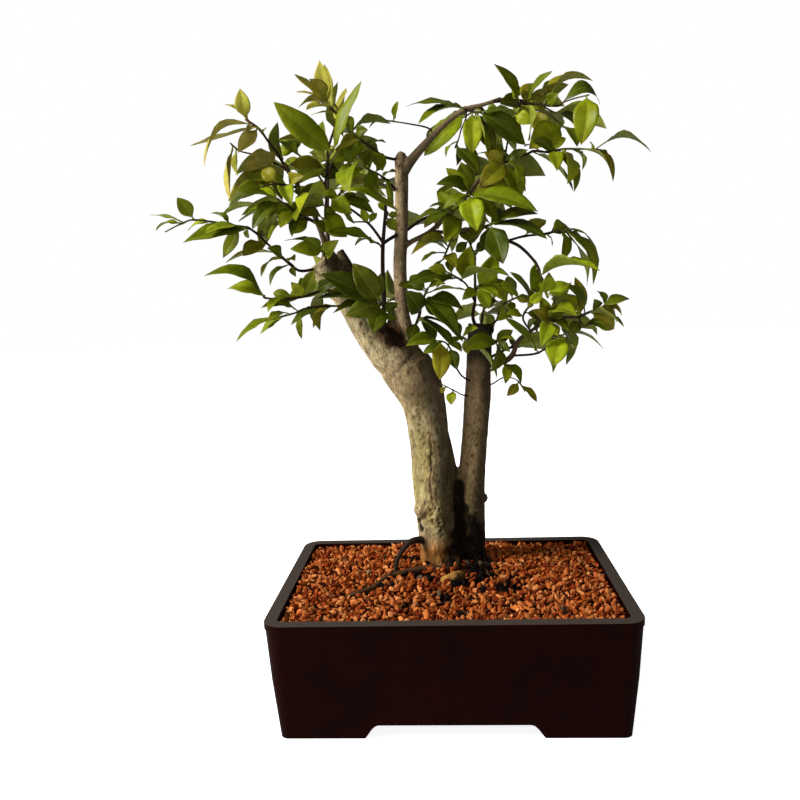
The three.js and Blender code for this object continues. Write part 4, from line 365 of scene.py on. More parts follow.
FRONT_STEMS = [  # name, parent, radii, route, leaves
    ("branch_diagonal", "dark_twig", (1.4, 0.9),
     [(383, 243, 0), (370, 225, -2), (352, 210, -4), (333, 199, -6)],
     []),
    ("branch_upright", "second_trunk", (2.0, 1.1),
     [(477, 335, 35), (473, 318, 32), (475, 300, 28), (475, 275, 24), (475, 257, 20)],
     []),
    ("shoot_top_left", "left_stem", (1.4, 0.8),
     [(285, 167, 2), (277, 153, 0), (268, 141, -3), (259, 129, -6), (245, 119, -9)],
     [(245, 119, 240, 88.5, -14, 16, 0.12), (247, 120, 224.5, 104.5, -4, 8, 0.04),
      (248, 122, 204, 167, -26, 15, 0.16), (250, 123, 190, 146, -6, 9, -0.02),
      (251, 125, 238, 153, -16, 15, 0.04), (255, 126, 246, 133, -14, 9),
      (276, 152, 242, 171, -10, 24, 0.04), (258, 129, 266, 129, -4, 3)]),
    ("shoot_left_hanging", "left_stem", (1.0, 0.6),
     [(288, 172, 3), (275, 163, 0), (255, 155, -4), (240, 151, -7), (230, 143, -10)],
     [(233, 145, 230, 199, -22, 16, 0.02), (236, 149, 238, 176, -2, 6, 0.03),
      (277, 163, 228, 201, -16, 27, 0.03), (285, 168, 254, 184, -26, 18)]),
    ("spray_crown_top", "crown_stem", (1.4, 0.8),
     [(328, 168, 18), (328, 150, 16), (334, 130, 13), (338, 117, 10), (329, 106, 7), (326, 102, 6)],
     [(326, 102, 319.5, 60, -2, 13, -0.02), (330, 107, 324, 64, 8, 16, -0.08),
      (338, 116, 330, 80, 14, 13, -0.04), (326, 101, 294, 74, -6, 13, 0),
      (326, 102, 309, 79, -10, 13, 0), (326, 102, 296, 92, -12, 10, 0.04), (327, 103, 298, 108, 0, 5),
      (327, 104, 306, 110, -16, 15, 0.04), (331, 108, 311, 115, 10, 7, 0.04),
      (336, 124, 346, 88, 28, 16, -0.04)]),
    ("spray_crown_left", "crown_stem", (1.4, 0.9),
     [(328, 178, 18), (327, 168, 6), (329, 156, -6), (333, 150, -12)],
     [(333, 151, 273.5, 102, -24, 29, 0.04), (335, 150, 361.5, 81, -18, 20, -0.06),
      (328, 164, 278, 140, -26, 12), (331, 154, 323, 121, 12, 16), (327, 171, 290, 164, -2, 19, 0.05),
      (327, 170, 296, 186, -20, 16), (327, 174, 258, 181, -8, 13, 0.05), (327, 172, 304, 168, 10, 12)]),
    ("twig_crown_front", "spray_crown_left", (1.1, 0.8),
     [(327.5, 172, 8), (325, 184, 3), (326, 198, 2), (325, 212, 3), (326, 226, 5)],
     [(326, 187, 297, 199, -14, 17, 0.04), (326, 187, 338, 198, -8, 13),
      (326, 190, 398, 211, -18, 17, 0.08), (325, 213, 347, 237, -10, 22, 0.04),
      (325, 206, 296, 221, -12, 16), (326, 224, 301, 217, -6, 10), (326, 218, 336, 206, -2, 14)]),
    ("spray_crown_back", "crown_stem", (1.3, 0.8),
     [(328, 190, 18), (318, 175, 30), (305, 160, 38), (292, 150, 44)],
     [(300, 156, 280, 138, 50, 14), (306, 162, 282, 168, 30, 14), (296, 153, 297, 133, 54, 12),
      (310, 167, 330, 150, 46, 16), (296, 153, 277, 150, 48, 14), (313, 171, 340, 176, 40, 18)]),
    ("spray_leader_left", "leader", (1.5, 0.8),
     [(400, 160, 16), (385, 157, 11), (372, 148, 6), (358, 138, 2), (354, 134, 0)],
     [(356, 135, 368, 130, -10, 13), (371, 147, 386, 143, -4, 5), (374, 150, 383, 171, -8, 16, -0.05),
      (358, 138, 349, 166, -6, 19), (366, 144, 378, 160, 18, 15), (354, 134, 342, 118, 10, 13),
      (368, 149, 332, 163, -12, 17, 0.04), (363, 144, 338, 150, 2, 15), (370, 150, 354, 174, 4, 15)]),
    ("twig_leader_left", "leader", (1.2, 0.7),
     [(398, 195, 17), (384, 178, 10), (372, 171, 5), (362, 166, 1)],
     [(363, 166, 336, 184, -12, 18), (384, 178, 397, 172, -4, 8), (384, 181, 393, 207, -8, 10, -0.08),
      (368, 170, 377, 193, -6, 20, -0.04), (376, 173, 386, 160, 14, 9), (365, 168, 350, 193, -16, 18)]),
    ("spray_diagonal", "branch_diagonal", (1.0, 0.7),
     [(345, 206, -5), (333, 199, -8), (326, 196, -12)],
     [(345, 206, 356, 193, -12, 15), (330, 198, 352, 214, -20, 20), (343, 205, 374, 213, 2, 16),
      (327, 197, 300, 212, -26, 16), (340, 203, 330, 182, 4, 14)]),
    ("twig_diagonal_side", "branch_diagonal", (0.9, 0.7),
     [(370, 225, -2), (366, 222, -5), (352, 222, -8)],
     [(368, 223, 361, 208, -10, 9), (369, 223, 377, 213, 2, 7)]),
    ("spray_dark_twig_side", "dark_twig", (1.0, 0.7),
     [(383, 250, 0), (379, 244, -6), (374, 242, -9)],
     [(378, 243, 328, 232, -16, 18, 0), (375, 242, 355, 246, -22, 5)]),
    ("spray_dark_twig_top", "dark_twig", (0.9, 0.7),
     [(384, 224, -1), (386, 218, 1), (388, 212, 2)],
     [(388, 213, 398, 215, 2, 12), (387, 212, 378, 203, 4, 13), (388, 215, 397, 231, 0, 14)]),
    ("spray_left_stem_low", "left_stem", (1.3, 0.8),
     [(316, 222, 10), (305, 218, -4), (290, 208, -14), (276, 198, -22)],
     [(278, 199, 252, 229, -30, 19, 0.03), (284, 203, 238, 222, -42, 8, 0.03),
      (276, 198, 228, 206, -26, 9), (278, 199, 229, 210, -8, 4), (286, 205, 267, 222, -12, 15),
      (300, 214, 267, 240, -18, 12, 0.06), (303, 217, 292, 237, -30, 12), (305, 218, 288, 205, 6, 20),
      (296, 211, 313, 228, -34, 15), (299, 213, 272, 208, -2, 17), (310, 220, 290, 234, -4, 15),
      (312, 221, 332, 231, -12, 13), (308, 219, 298, 201, 0, 15), (292, 209, 280, 228, -20, 15)]),
    ("spray_left_stem_mid", "left_stem", (1.2, 0.8),
     [(299, 188, 6), (290, 186, -8), (275, 184, -18), (262, 187, -26)],
     [(264, 187, 236, 190, -38, 15), (272, 185, 262, 205, -44, 14), (280, 184, 262, 170, -10, 18),
      (266, 186, 250, 200, -20, 9), (290, 186, 304, 176, -26, 15), (286, 185, 292, 206, -30, 16),
      (265, 187, 231, 202, -30, 9, 0.03), (289, 186, 247, 177, -4, 17, 0.03),
      (295, 188, 309, 200, -20, 15)]),
    ("twig_left_reach", "left_limb", (1.5, 0.6),
     [(318, 272, 14), (302, 271, 0), (290, 264, -6), (273, 249, -14), (252, 230, -20), (237, 226, -24),
      (197, 220, -30), (183, 223, -33), (165, 232, -36)],
     [(196, 219, 177, 197.5, -42, 15, -0.1), (183, 223, 149, 215, -46, 6, 0.03),
      (183, 223, 156, 231, -24, 9), (250, 229, 183, 243, -50, 18, 0.06),
      (238, 226, 205, 234, -38, 14, 0), (236, 226, 223, 258, -28, 14, -0.08),
      (228, 225, 211, 213, -18, 5, 0.03), (215, 223, 188, 231, -20, 9),
      (263, 240, 243, 256, -34, 18, 0.02), (256, 233, 264, 240, -8, 9), (248, 229, 248, 238, -14, 7),
      (276, 252, 225, 263, -42, 6, 0.06), (283, 258, 261, 277, -28, 9),
      (290, 265, 270, 286, -14, 8, 0.15), (287, 262, 295, 261, -22, 6), (282, 257, 267, 248, -18, 12),
      (292, 265, 296, 277, -10, 7)]),
    ("spray_stub_top", "left_limb", (1.2, 0.9),
     [(328, 266, 15), (326, 258, -2), (322, 251, -12)],
     [(323, 252, 290, 249, -28, 17, 0.12), (326, 257, 339, 240, -22, 16), (322, 250, 302, 238, -18, 12),
      (324, 254, 284, 241, -6, 4)]),
    ("twig_left_low", "left_limb", (1.3, 0.7),
     [(342, 292, 16), (322, 291, 0), (306, 296, -10), (285, 299, -18), (266, 298, -24), (264, 295, -25)],
     [(265, 296, 204, 276, -38, 14, 0.16), (266, 297, 227, 289, -20, 10),
      (304, 295, 315, 270, -26, 15, -0.04), (294, 298, 273, 293, -12, 11),
      (286, 299, 268, 312, -30, 10), (312, 294, 296, 284, -2, 12), (318, 292, 338, 281, -14, 13),
      (303, 296, 283, 301, -16, 8, 0.04), (304, 295, 291, 282, -22, 12), (312, 293, 300, 278, -4, 12)]),
    ("twig_left_lowest", "left_limb", (1.2, 0.7),
     [(352, 309, 17), (332, 306, 2), (308, 308, -8), (295, 313, -14), (280, 317, -20)],
     [(281, 317, 236, 342, -34, 11, 0.08), (285, 316, 260, 334, -12, 9, 0.04),
      (303, 310, 302, 339, -20, 10, 0.04), (298, 311, 261, 308, -28, 10, 0.1),
      (344, 309, 313, 328, -22, 14, 0.14), (322, 307, 291, 325, -10, 12, 0.06),
      (290, 314, 268, 321, -26, 11, 0.04)]),
    ("spray_dark_twig_left", "dark_twig", (1.3, 0.9),
     [(384, 318, 8), (383, 306, -8), (378, 299, -14)],
     [(381, 303, 320, 274, -30, 24, 0.04), (380, 302, 306, 289, -16, 12, 0.03),
      (379, 300, 353, 263, -8, 26, 0.14), (382, 306, 345, 316, -30, 22),
      (379, 300, 381, 273, -20, 12, -0.04), (382, 307, 373, 333, -26, 26, 0),
      (380, 303, 316, 299, -20, 14, 0.04), (381, 304, 333, 313, -24, 13, 0.04),
      (384, 312, 398, 303, -2, 11), (384, 314, 397, 319, 4, 10)]),
    ("twig_right_back", "right_branch", (1.0, 0.6),
     [(433, 134, 13), (428, 128, 14), (410, 124, 12), (387, 120.5, 9)],
     [(391, 121, 398, 101, 2, 8, -0.05), (387, 120.5, 369, 128, 8, 6, 0.12)]),
    ("spray_elbow_front", "right_branch", (1.2, 0.9),
     [(466, 110, 7), (465, 109, -6)],
     [(465, 109, 406, 106.5, -10, 8, 0.1), (465, 110, 418, 124, -22, 18, 0.1)]),
    ("spray_elbow_back", "right_branch", (1.2, 0.8),
     [(474, 107, 5), (472, 112, 16), (464, 117, 22)],
     [(464, 117, 424, 156, 26, 25, 0.02), (465, 116, 427, 142, 42, 15)]),
    ("twig_elbow_hanging", "spray_elbow_front", (0.9, 0.6),
     [(465.5, 109.5, 1), (466, 118, 3), (461, 130, 3), (459, 138, 1), (455, 148, -3)],
     [(454, 149, 446, 157, -6, 3), (455, 150, 456.5, 166, 0, 4), (455, 149, 479, 173, -16, 16, 0.08)]),
    ("twig_elbow_right", "spray_elbow_front", (1.1, 0.8),
     [(465, 109, -6), (474, 112, -9), (482, 112, -11)],
     [(480, 112, 488, 154, -26, 14, -0.03), (482, 112, 495, 151, -10, 20, -0.04),
      (474, 112, 472, 154, -14, 20, 0.04), (482, 112, 525.5, 145, -2, 25, 0.04),
      (482, 111, 505, 110, -16, 8, 0.04)]),
    ("spray_top_right", "right_branch", (1.4, 0.6),
     [(492, 101, 3), (505, 99, 1), (520, 103, -2), (535, 104, -5), (557, 106, -10), (564, 102, -14),
      (576, 98, -20), (589, 95, -26)],
     [(519, 102, 494, 64, -12, 12, 0), (524, 103, 552.5, 71, -16, 14, 0),
      (518, 102, 500, 104, -22, 17, 0), (524, 104, 528, 141, -26, 6, 0),
      (543, 105, 593, 81, 2, 16, 0.17), (546, 105, 559, 93, -20, 15), (560, 104, 600, 105, -4, 15, 0.4),
      (588, 96, 581, 145, -30, 26, 0.1), (512, 100, 517, 85, 16, 12), (530, 104, 543, 92, 6, 11),
      (521, 103, 535, 83, 12, 12)]),
    ("spray_right_inner", "spray_top_right", (1.0, 0.7),
     [(502, 99.5, 1), (516, 105, 10), (532, 109, 12), (548, 114, 4), (565, 128, -4)],
     [(550, 116, 577, 131, -14, 8, 0.15), (565, 128, 529, 149, -18, 27, 0.04),
      (565, 128, 577, 147, -18, 13), (563, 127, 551, 147, 4, 13), (520, 106, 549, 119, 22, 16),
      (535, 110, 548, 137, 10, 19), (528, 108, 519, 124, 6, 12)]),
    ("spray_right_reach", "long_branch", (1.3, 0.6),
     [(500, 164, -3), (525, 155, -8), (534, 151, -10), (548, 152, -12), (565, 149, -15),
      (583, 149, -18), (602, 150, -22)],
     [(601, 150, 651, 152, -26, 14, 0.2), (599, 150, 590, 143, -30, 6), (603, 150, 609, 160, -16, 3),
      (583, 150, 613, 182, -32, 12, 0.12), (577, 150, 583, 163, -10, 5), (570, 150, 582, 170, -2, 6),
      (564, 150, 574, 192, -28, 9, 0), (552, 152, 557, 171, -32, 15),
      (532, 152, 573, 191, -24, 13, 0.08), (548, 152, 566, 138, 6, 12), (540, 152, 524, 147, 2, 9),
      (560, 151, 567, 184, -20, 11), (556, 152, 571, 168, -12, 12), (553, 152, 533, 140, 2, 14)]),
    ("twig_right_upright", "spray_right_reach", (0.9, 0.7),
     [(503, 162, -4), (507, 145, -3), (511, 125, -2), (516, 112, -1)],
     [(505, 156, 494, 146.5, -16, 9), (514, 116, 533, 124, -10, 14), (506, 150, 491, 154, -10, 8)]),
    ("spray_right_reach_base", "spray_right_reach", (1.2, 0.9),
     [(503, 163, -4), (508, 165, -14)],
     [(508, 165, 517, 183, -26, 8, 0.3), (507, 165, 521.5, 197, -10, 20, -0.04),
      (508, 165, 528, 150, -22, 10), (506, 165, 479, 188, -24, 24), (505, 165, 484, 152, -20, 16),
      (506, 164, 471, 156, -28, 10)]),
    ("spray_knee", "long_branch", (1.3, 1.0),
     [(470, 192, 4), (470, 195, -12)],
     [(470, 195, 538, 212, -38, 24, 0.1), (469, 194, 436, 184.5, -26, 17),
      (469, 193, 461, 162, -14, 25, 0.04), (469, 196, 477, 231, -26, 25, 0.04),
      (470, 194, 498, 222, -8, 15), (469, 195, 443, 209, -8, 13), (470, 193, 516, 191, -4, 20),
      (469, 193, 446, 168, -4, 18)]),
    ("spray_knee_left", "long_branch", (1.2, 0.9),
     [(452, 211, 8), (451, 213, -8)],
     [(450, 212, 429, 207, -14, 8), (450, 213, 408, 224, -8, 9, 0.04), (450, 214, 424, 228, -28, 18),
      (451, 214, 446, 243, -30, 22, 0.04), (451, 212, 438, 191, 4, 12), (452, 212, 472, 206, -24, 12),
      (451, 213, 458, 236, -14, 14)]),
    ("spray_low_right_end", "low_branch", (1.2, 0.7),
     [(508, 241, -8), (525, 236, -12), (545, 234, -16), (560, 230, -20), (567, 231, -22)],
     [(546, 234, 562, 222, -6, 12), (563, 230, 596, 251, -30, 9, 0.2),
      (565, 231, 562, 261, -28, 14, 0.03), (567, 231, 593, 285, -24, 17, 0.14),
      (566, 231, 587, 286, -6, 13, 0.06), (545, 235, 552, 246, -22, 3), (525, 236, 546, 220, 4, 13),
      (545, 234, 573, 232, -10, 15), (567, 231, 588, 258, -12, 16, 0.1)]),
    ("spray_low_right_dark", "low_branch", (1.2, 0.9),
     [(484, 226, -2), (492, 224, -14)],
     [(492, 224, 547, 239, -34, 22, 0.1), (492, 225, 503, 264, -24, 26, -0.03),
      (488, 225, 490, 254, -8, 22, 0.03), (490, 224, 505, 212, -26, 16), (486, 226, 470, 240, -18, 10),
      (492, 224, 538, 214, 4, 14, 0.04)]),
    ("twig_curved_stem", "spray_low_right_end", (1.6, 0.9),
     [(505, 239, -7), (519, 246, -12), (530, 256, -14), (538, 267, -16), (542, 282, -18),
      (548, 298, -20)],
     [(535, 262, 530, 291, -26, 8, 0.04), (539, 270, 536, 293, -4, 15),
      (541, 276, 600, 271, -24, 13, 0.1), (548, 297, 549, 272, -38, 17), (542, 283, 560, 292, -32, 16),
      (547, 296, 530, 303, -10, 11), (548, 298, 570, 284, -22, 15)]),
    ("twig_hanging_pair", "low_branch", (0.9, 0.6),
     [(455, 232, 8), (450, 243, 4), (443, 260, 0)],
     [(443, 260, 421, 262, -8, 8, 0.04), (442, 259, 411, 255, -14, 9, 0.2), (444, 257, 430, 243, -2, 4),
      (443, 260, 457, 269, -16, 12), (443, 260, 434, 276, 6, 4), (447, 250, 416, 244, 4, 11),
      (446, 252, 455, 244, -12, 7)]),
    ("spray_upright_top", "branch_upright", (0.9, 0.6),
     [(475, 262, 21), (475, 256, 18), (471, 246, 12), (468, 240, 8)],
     [(471, 246, 478, 238, 0, 5), (469, 241, 456, 252, 12, 10), (475, 258, 481, 250, 8, 4),
      (474, 254, 488, 244, 30, 12), (470, 244, 462, 228, 22, 12)]),
    ("spray_upright_bright", "branch_upright", (1.1, 0.8),
     [(475, 298, 27), (476, 292, 14), (478, 286, 6)],
     [(477, 287, 498, 252, -6, 19, -0.04), (477, 288, 500, 298, -8, 13), (478, 286, 489, 309, -4, 19),
      (477, 290, 462, 300, -4, 12), (477, 289, 498, 276, 8, 14)]),
    ("twig_upright_left", "branch_upright", (1.1, 0.7),
     [(475, 302, 28), (468, 287, 16), (461, 280, 8), (447, 272, 0)],
     [(461, 280, 470, 246, -14, 20, -0.03), (461, 280, 509, 276, -20, 12, 0.04),
      (455, 276, 407, 285, -12, 14, 0.1), (461, 280, 436, 288, 0, 7), (448, 272, 428, 268, -6, 11),
      (452, 274, 450, 260, 12, 10)]),
    ("spray_leader_low", "leader", (1.5, 0.8),
     [(410, 335, 23), (417, 322, 12), (421, 308, 6), (424, 297, 0), (428, 288, -4)],
     [(424, 298, 459, 334, -10, 21, 0.02), (420, 312, 406, 290, -20, 22),
      (419, 318, 463, 342, -24, 13, 0.08), (425, 294, 468, 291, -8, 9, 0.06),
      (428, 288, 446, 284, -12, 8), (427, 290, 410, 276, -2, 15), (422, 304, 440, 312, 14, 16),
      (418, 321, 453, 347, -32, 14, 0.04), (423, 300, 464, 311, -2, 11), (419, 317, 407, 304, -4, 17),
      (422, 303, 436, 300, 6, 12), (417, 322, 410, 343, 6, 16), (421, 318, 433, 343, 12, 16),
      (426, 291, 398, 285, 2, 14)]),
    ("twig_second_left", "second_trunk", (1.0, 0.7),
     [(470, 384, 36), (462, 376, 28), (453, 360, 20), (452, 352, 15), (446, 343, 8), (438, 341, 2)],
     [(439, 342, 440, 380, -12, 20, 0.03), (440, 342, 423, 353, 2, 10), (437, 341, 406, 346, -10, 14),
      (447, 345, 462, 352, -8, 9), (449, 348, 457, 370, 4, 13)]),
    ("twig_second_low", "second_trunk", (0.8, 0.5),
     [(470, 398, 35), (463, 395, 28), (455, 391, 20), (441, 384, 13)],
     [(453, 390, 451, 405, 10, 12, 0), (446, 387, 440, 392, 22, 6)]),
    ("spray_second_top", "second_trunk", (1.6, 1.2),
     [(482, 345, 34), (492, 344, 16), (498, 340, 8)],
     [(497, 341, 463, 350, -6, 17, 0.04), (496, 342, 490, 372, -10, 10), (497, 341, 510, 352, -2, 9),
      (496, 340, 515, 340, 4, 5), (494, 342, 513, 330, 10, 13)]),
    ("spray_second_top_left", "second_trunk", (1.2, 0.8),
     [(476, 344, 35), (468, 340, 18), (461, 337, 10)],
     [(462, 338, 497, 378, -16, 10, 0.1), (464, 338, 448, 352, 16, 9), (463, 338, 478, 328, -6, 9),
      (464, 339, 468, 354, 8, 13), (462, 337, 452, 322, 4, 12)]),
    ("twig_second_top_right", "second_trunk", (1.2, 0.7),
     [(482, 332, 35), (495, 322, 30), (499, 313, 26), (504, 304, 20), (520, 296, 12)],
     [(504, 304, 492, 282, 2, 14), (503, 305, 485, 309, 6, 9), (504, 304, 514, 312, 8, 8),
      (519, 297, 498, 286, -10, 11), (518, 297, 534, 300, 2, 9), (512, 300, 508, 276, 20, 13),
      (503, 305, 496, 278, -6, 17), (503, 306, 497, 321, 0, 8)]),
    ("twig_right_mid_up", "right_low_branch", (1.0, 0.7),
     [(531, 331, 6), (523, 319, 2), (527, 309, -2), (533, 305, -4)],
     [(527, 309, 519, 295, -10, 5), (533, 305, 530, 289, -12, 8), (524, 317, 506, 314, -8, 8),
      (532, 305, 510, 272, 10, 14), (525, 313, 540, 318, 10, 11), (532, 305, 505, 286, -4, 10)]),
    ("twig_right_low", "right_low_branch", (1.2, 0.7),
     [(512, 356, 20), (534, 354, 10), (545, 349, 6), (553, 343, 3), (562, 335, -2)],
     [(537, 352, 505, 318, -6, 18, 0.04), (563, 334, 554, 366, -18, 26, -0.03),
      (561, 336, 549, 323, 8, 13), (553, 343, 574, 349, 14, 11)]),
    ("spray_right_low_base", "right_low_branch", (1.0, 0.8),
     [(500, 362, 28), (504, 364, 20)],
     [(504, 364, 521, 384, 12, 7), (504, 364, 505, 384, 22, 9), (503, 364, 512, 372, 34, 9)]),
    ("spray_right_mid_left", "right_low_branch", (1.1, 0.8),
     [(548, 321, -1), (549, 318, -14)],
     [(549, 318, 533, 311, -24, 19), (549, 319, 541, 347, -22, 17), (549, 318, 566, 303, -18, 18),
      (549, 318, 577, 316, -30, 11), (548, 318, 540, 296, -12, 12), (549, 319, 569, 331, -4, 13),
      (549, 318, 551, 299, -22, 14)]),
    ("spray_right_end", "right_low_branch", (1.1, 0.7),
     [(577, 317, -8), (592, 311, -14), (608, 305, -18)],
     [(606, 306, 630, 299, -24, 8), (600, 308, 594, 299, -28, 12), (604, 307, 616, 322, -2, 8),
      (606, 306, 596, 291, -10, 6, 0.2), (607, 305, 622, 316, -14, 4), (590, 312, 614, 329, -6, 18),
      (585, 314, 624, 327, -24, 7), (579, 317, 575, 277, -12, 17, 0.04), (583, 315, 563, 284, -24, 12),
      (581, 316, 549, 296, -20, 12)]),
    ("twig_right_end_low", "spray_right_end", (0.9, 0.6),
     [(579, 316.5, -9), (580, 321, -14), (586, 328, -18)],
     [(585, 327, 609, 331, -30, 10), (580, 321, 570, 335, -22, 12), (586, 328, 600, 322, -8, 7)]),
    ("twig_right_lowest", "second_trunk", (0.8, 0.5),
     [(486, 388, 36), (492, 384, 33), (500, 379, 27), (508, 377, 22), (518, 381, 16), (525, 392, 13)],
     [(519, 382, 507, 396, 6, 10, 0.02), (521, 385, 537, 402, 8, 10, 0.06)]),
]

# %% The leafy stems behind: parent, place on it, heading and rise in degrees, reach
FAR_STEMS = [
    ("far_stem_left_low", "left_limb", 0.62, 118, 8, 88),
    ("far_stem_left", "left_stem", 0.5, 138, 16, 80),
    ("far_stem_left_high", "left_stem", 0.9, 108, 18, 60),
    ("far_stem_crown", "crown_stem", 0.5, 80, 26, 88),
    ("far_stem_crown_high", "crown_stem", 0.93, 66, 46, 56),
    ("far_stem_leader_low", "leader", 0.36, 100, 2, 92),
    ("far_stem_leader", "leader", 0.6, 62, 14, 98),
    ("far_stem_leader_high", "leader", 0.74, 122, 12, 84),
    ("far_stem_right_branch", "right_branch", 0.79, 80, -2, 76),
    ("far_stem_right_high", "right_branch", 0.92, 40, 0, 72),
    ("far_stem_right", "long_branch", 0.6, 82, 4, 88),
    ("far_stem_right_reach", "long_branch", 0.94, 84, 6, 74),
    ("far_stem_second_trunk", "second_trunk", 0.97, 84, 14, 92),
    ("far_stem_second_side", "second_trunk", 0.88, 24, 14, 78),
    ("far_stem_right_low", "right_low_branch", 0.62, 62, 2, 74),
]
FAR_RADII = (1.7, 1.4, 1.1, 0.8)
FAR_COURSE = ((0.35, 0.05), (0.7, 0.05), (1, -0.02))  # shares of the reach: outward, and lifted
print("limbs:", len(LIMBS), "stems in front:", len(FRONT_STEMS), "behind:", len(FAR_STEMS))


# %% [markdown]
# A limb's middle line is a smooth curve through its points. The solids were drawn along short
# straight steps of that curve, and a leaf's place was measured on those steps, so the same steps are
# kept here for measuring, and the smooth curve is used for the surface.

# %% Lines that grow
LONGEST_STEP, STEP_TO_RADIUS = 18, 0.8  # a straight step is so long, or so many radii if that is more
HEADING_SPAN = 0.02  # share of a limb, to both sides, over which its direction is taken
SEEN_STEPS = 200  # on a limb, when the place that shows at a pixel is looked for


def spline_point(points, t):
    """A uniform Catmull-Rom curve through the points, at a share t of the way."""
    last = len(points) - 1
    index = min(int(t * last), last - 1)
    weight = t * last - index
    before = points[index - 1] if index > 0 else 2 * points[0] - points[1]
    start, end = points[index], points[index + 1]
    after = points[index + 2] if index + 2 <= last else 2 * points[last] - points[last - 1]
    leave, arrive = (end - before) / 2, (after - start) / 2
    bend = -3 * start + 3 * end - 2 * leave - arrive
    return start + weight * (leave + weight * (bend + weight * (2 * start - 2 * end + leave + arrive)))


class Limb:
    """A line that grew, with its radii. A place on it is a share of the way from 0 to 1."""

    def __init__(self, route, radii, hidden=0.0):
        self.points = np.array(route, dtype=float)
        self.radii = np.array(radii, dtype=float)
        self.hidden = hidden  # mm at its foot that carry no leaf
        spans = np.linalg.norm(np.diff(self.points, axis=0), axis=1)
        self.length = float(spans.sum())
        longest = max(LONGEST_STEP, self.radii.max() * STEP_TO_RADIUS)
        self.steps = max(len(route) - 1, math.ceil(self.length / longest))
        self.line = np.array([self.smooth(i / self.steps) for i in range(self.steps + 1)])

    def smooth(self, t):
        return spline_point(self.points, t)

    def at(self, t):
        index = min(int(t * self.steps), self.steps - 1)
        share = t * self.steps - index
        return self.line[index] * (1 - share) + self.line[index + 1] * share

    def heading(self, t):
        way = self.at(min(t + HEADING_SPAN, 1)) - self.at(max(t - HEADING_SPAN, 0))
        return way / np.linalg.norm(way)

    def radius(self, t):
        return float(np.interp(t * (len(self.radii) - 1), range(len(self.radii)), self.radii))

    def seen_at(self, u, v):
        """The share of the limb that the camera sees nearest to a pixel."""
        line = np.array([self.at(i / SEEN_STEPS) for i in range(SEEN_STEPS + 1)])
        miss = np.linalg.norm(to_photo(line) - (u, v), axis=1)
        return int(np.argmin(miss)) / SEEN_STEPS

    def stations(self, step, least):
        """Even shares about a step apart, and at least so many."""
        count = max(least, math.ceil(self.length / step))
        return [i / count for i in range(count + 1)]


# %% Every limb and leafy stem
ROOT_MARGIN = 1.6  # between the bark that a stem starts from and its first leaf
UP = np.array([0.0, 0.0, 1.0])

limbs = {name: Limb(route, radii) for name, (route, radii) in LIMBS.items()}

for name, parent, radii, route, _ in FRONT_STEMS:
    first_u, first_v, first_depth = route[0]
    place = limbs[parent].seen_at(first_u, first_v)
    start = limbs[parent].at(place)
    line = [start]
    for u, v, depth in route[1:]:
        further = OWN_DEEPEN.get(name, DEEPEN) * (depth - first_depth)
        line.append(from_photo(u, v, start[1] + min(max(further, -DEEPEST), DEEPEST)))
    limbs[name] = Limb(line, radii, limbs[parent].radius(place) + ROOT_MARGIN)

for name, parent, place, heading, rise, reach in FAR_STEMS:
    turn, climb = math.radians(heading), math.radians(rise)
    way = np.array([math.cos(turn) * math.cos(climb), math.sin(turn) * math.cos(climb),
                    math.sin(climb)])
    start = limbs[parent].at(place)
    line = [start] + [start + way * reach * share + UP * reach * lift for share, lift in FAR_COURSE]
    limbs[name] = Limb(line, FAR_RADII, limbs[parent].radius(place) + ROOT_MARGIN)

print("lines that grow:", len(limbs), "total", round(sum(limb.length for limb in limbs.values())), "mm")


# %% [markdown]
# ## The leaves' places
#
# Two leaves share a node on a jaboticaba twig, and no two stalks leave the bark at one point, so the
# feet are set a little apart. A leaf of the solids leaned towards the camera or away from it where
# it would have crossed its neighbour. Its tip is a corner of the solid's mesh, so the lean is found
# by looking for the tip there, and a leaf whose tip isn't there was left out.

# %% Feet of the leaves
LAST_FOOT = 0.97  # share of the stem
FOOT_PITCH = 2.4


def set_apart(wanted, limb):
    """Moves the feet of leaves along their stem until none is too near to the next."""
    least = FOOT_PITCH / limb.length
    order = sorted(range(len(wanted)), key=lambda i: wanted[i])
    places = list(wanted)
    last = limb.hidden / limb.length - least
    for i in order:
        last = places[i] = max(places[i], last + least)
    last = LAST_FOOT + least
    for i in reversed(order):
        last = places[i] = min(places[i], last - least)
    return places


# %% Tips of the leaves, found on the solids
TIP_MATCH = 0.3  # between a worked-out tip and the solid's corner
LEANS = (0, -7, 7, -13, 13, -19, 19, -26, 26, -34, 34, -42, 42)

parents = {row[0]: row[1] for row in FRONT_STEMS + FAR_STEMS}


def solid_of(name):
    """The CAD node that a leafy stem belongs to: the first of its family that leaves the wood."""
    while parents[name] not in LIMBS:
        name = parents[name]
    return name


families = {}
for name in parents:
    families.setdefault(solid_of(name), []).append(name)

corner_trees = {}
for node in families:
    corners = [vertex.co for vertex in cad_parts[node].data.vertices]
    corner_trees[node] = KDTree(len(corners))
    for i, corner in enumerate(corners):
        corner_trees[node].insert(corner, i)
    corner_trees[node].balance()


def leaning_tip(node, tip):
    away = (tip - CAMERA_PLACE) / np.linalg.norm(tip - CAMERA_PLACE)
    for lean in LEANS:
        candidate = tip + away * lean
        _, _, miss = corner_trees[node].find(in_metres(candidate).tolist())
        if miss < TIP_MATCH * MM:
            return candidate
    return None


print("families of leafy stems:", len(families))

# %% One leaf's length, width and facing
WIDTH_TO_LENGTH, WIDEST_TO_LENGTH = 0.45, 0.62
LEAF_WIDTHS = (5, 21)
FACE_TILT = 0.2  # a leaf faces outward and this much upward
CROWN_MIDDLE = -35  # x of the crown, which leans to the left of the pot
RISE_BEFORE_OUT = 2  # a turned leaf looks up rather than away from the crown's middle


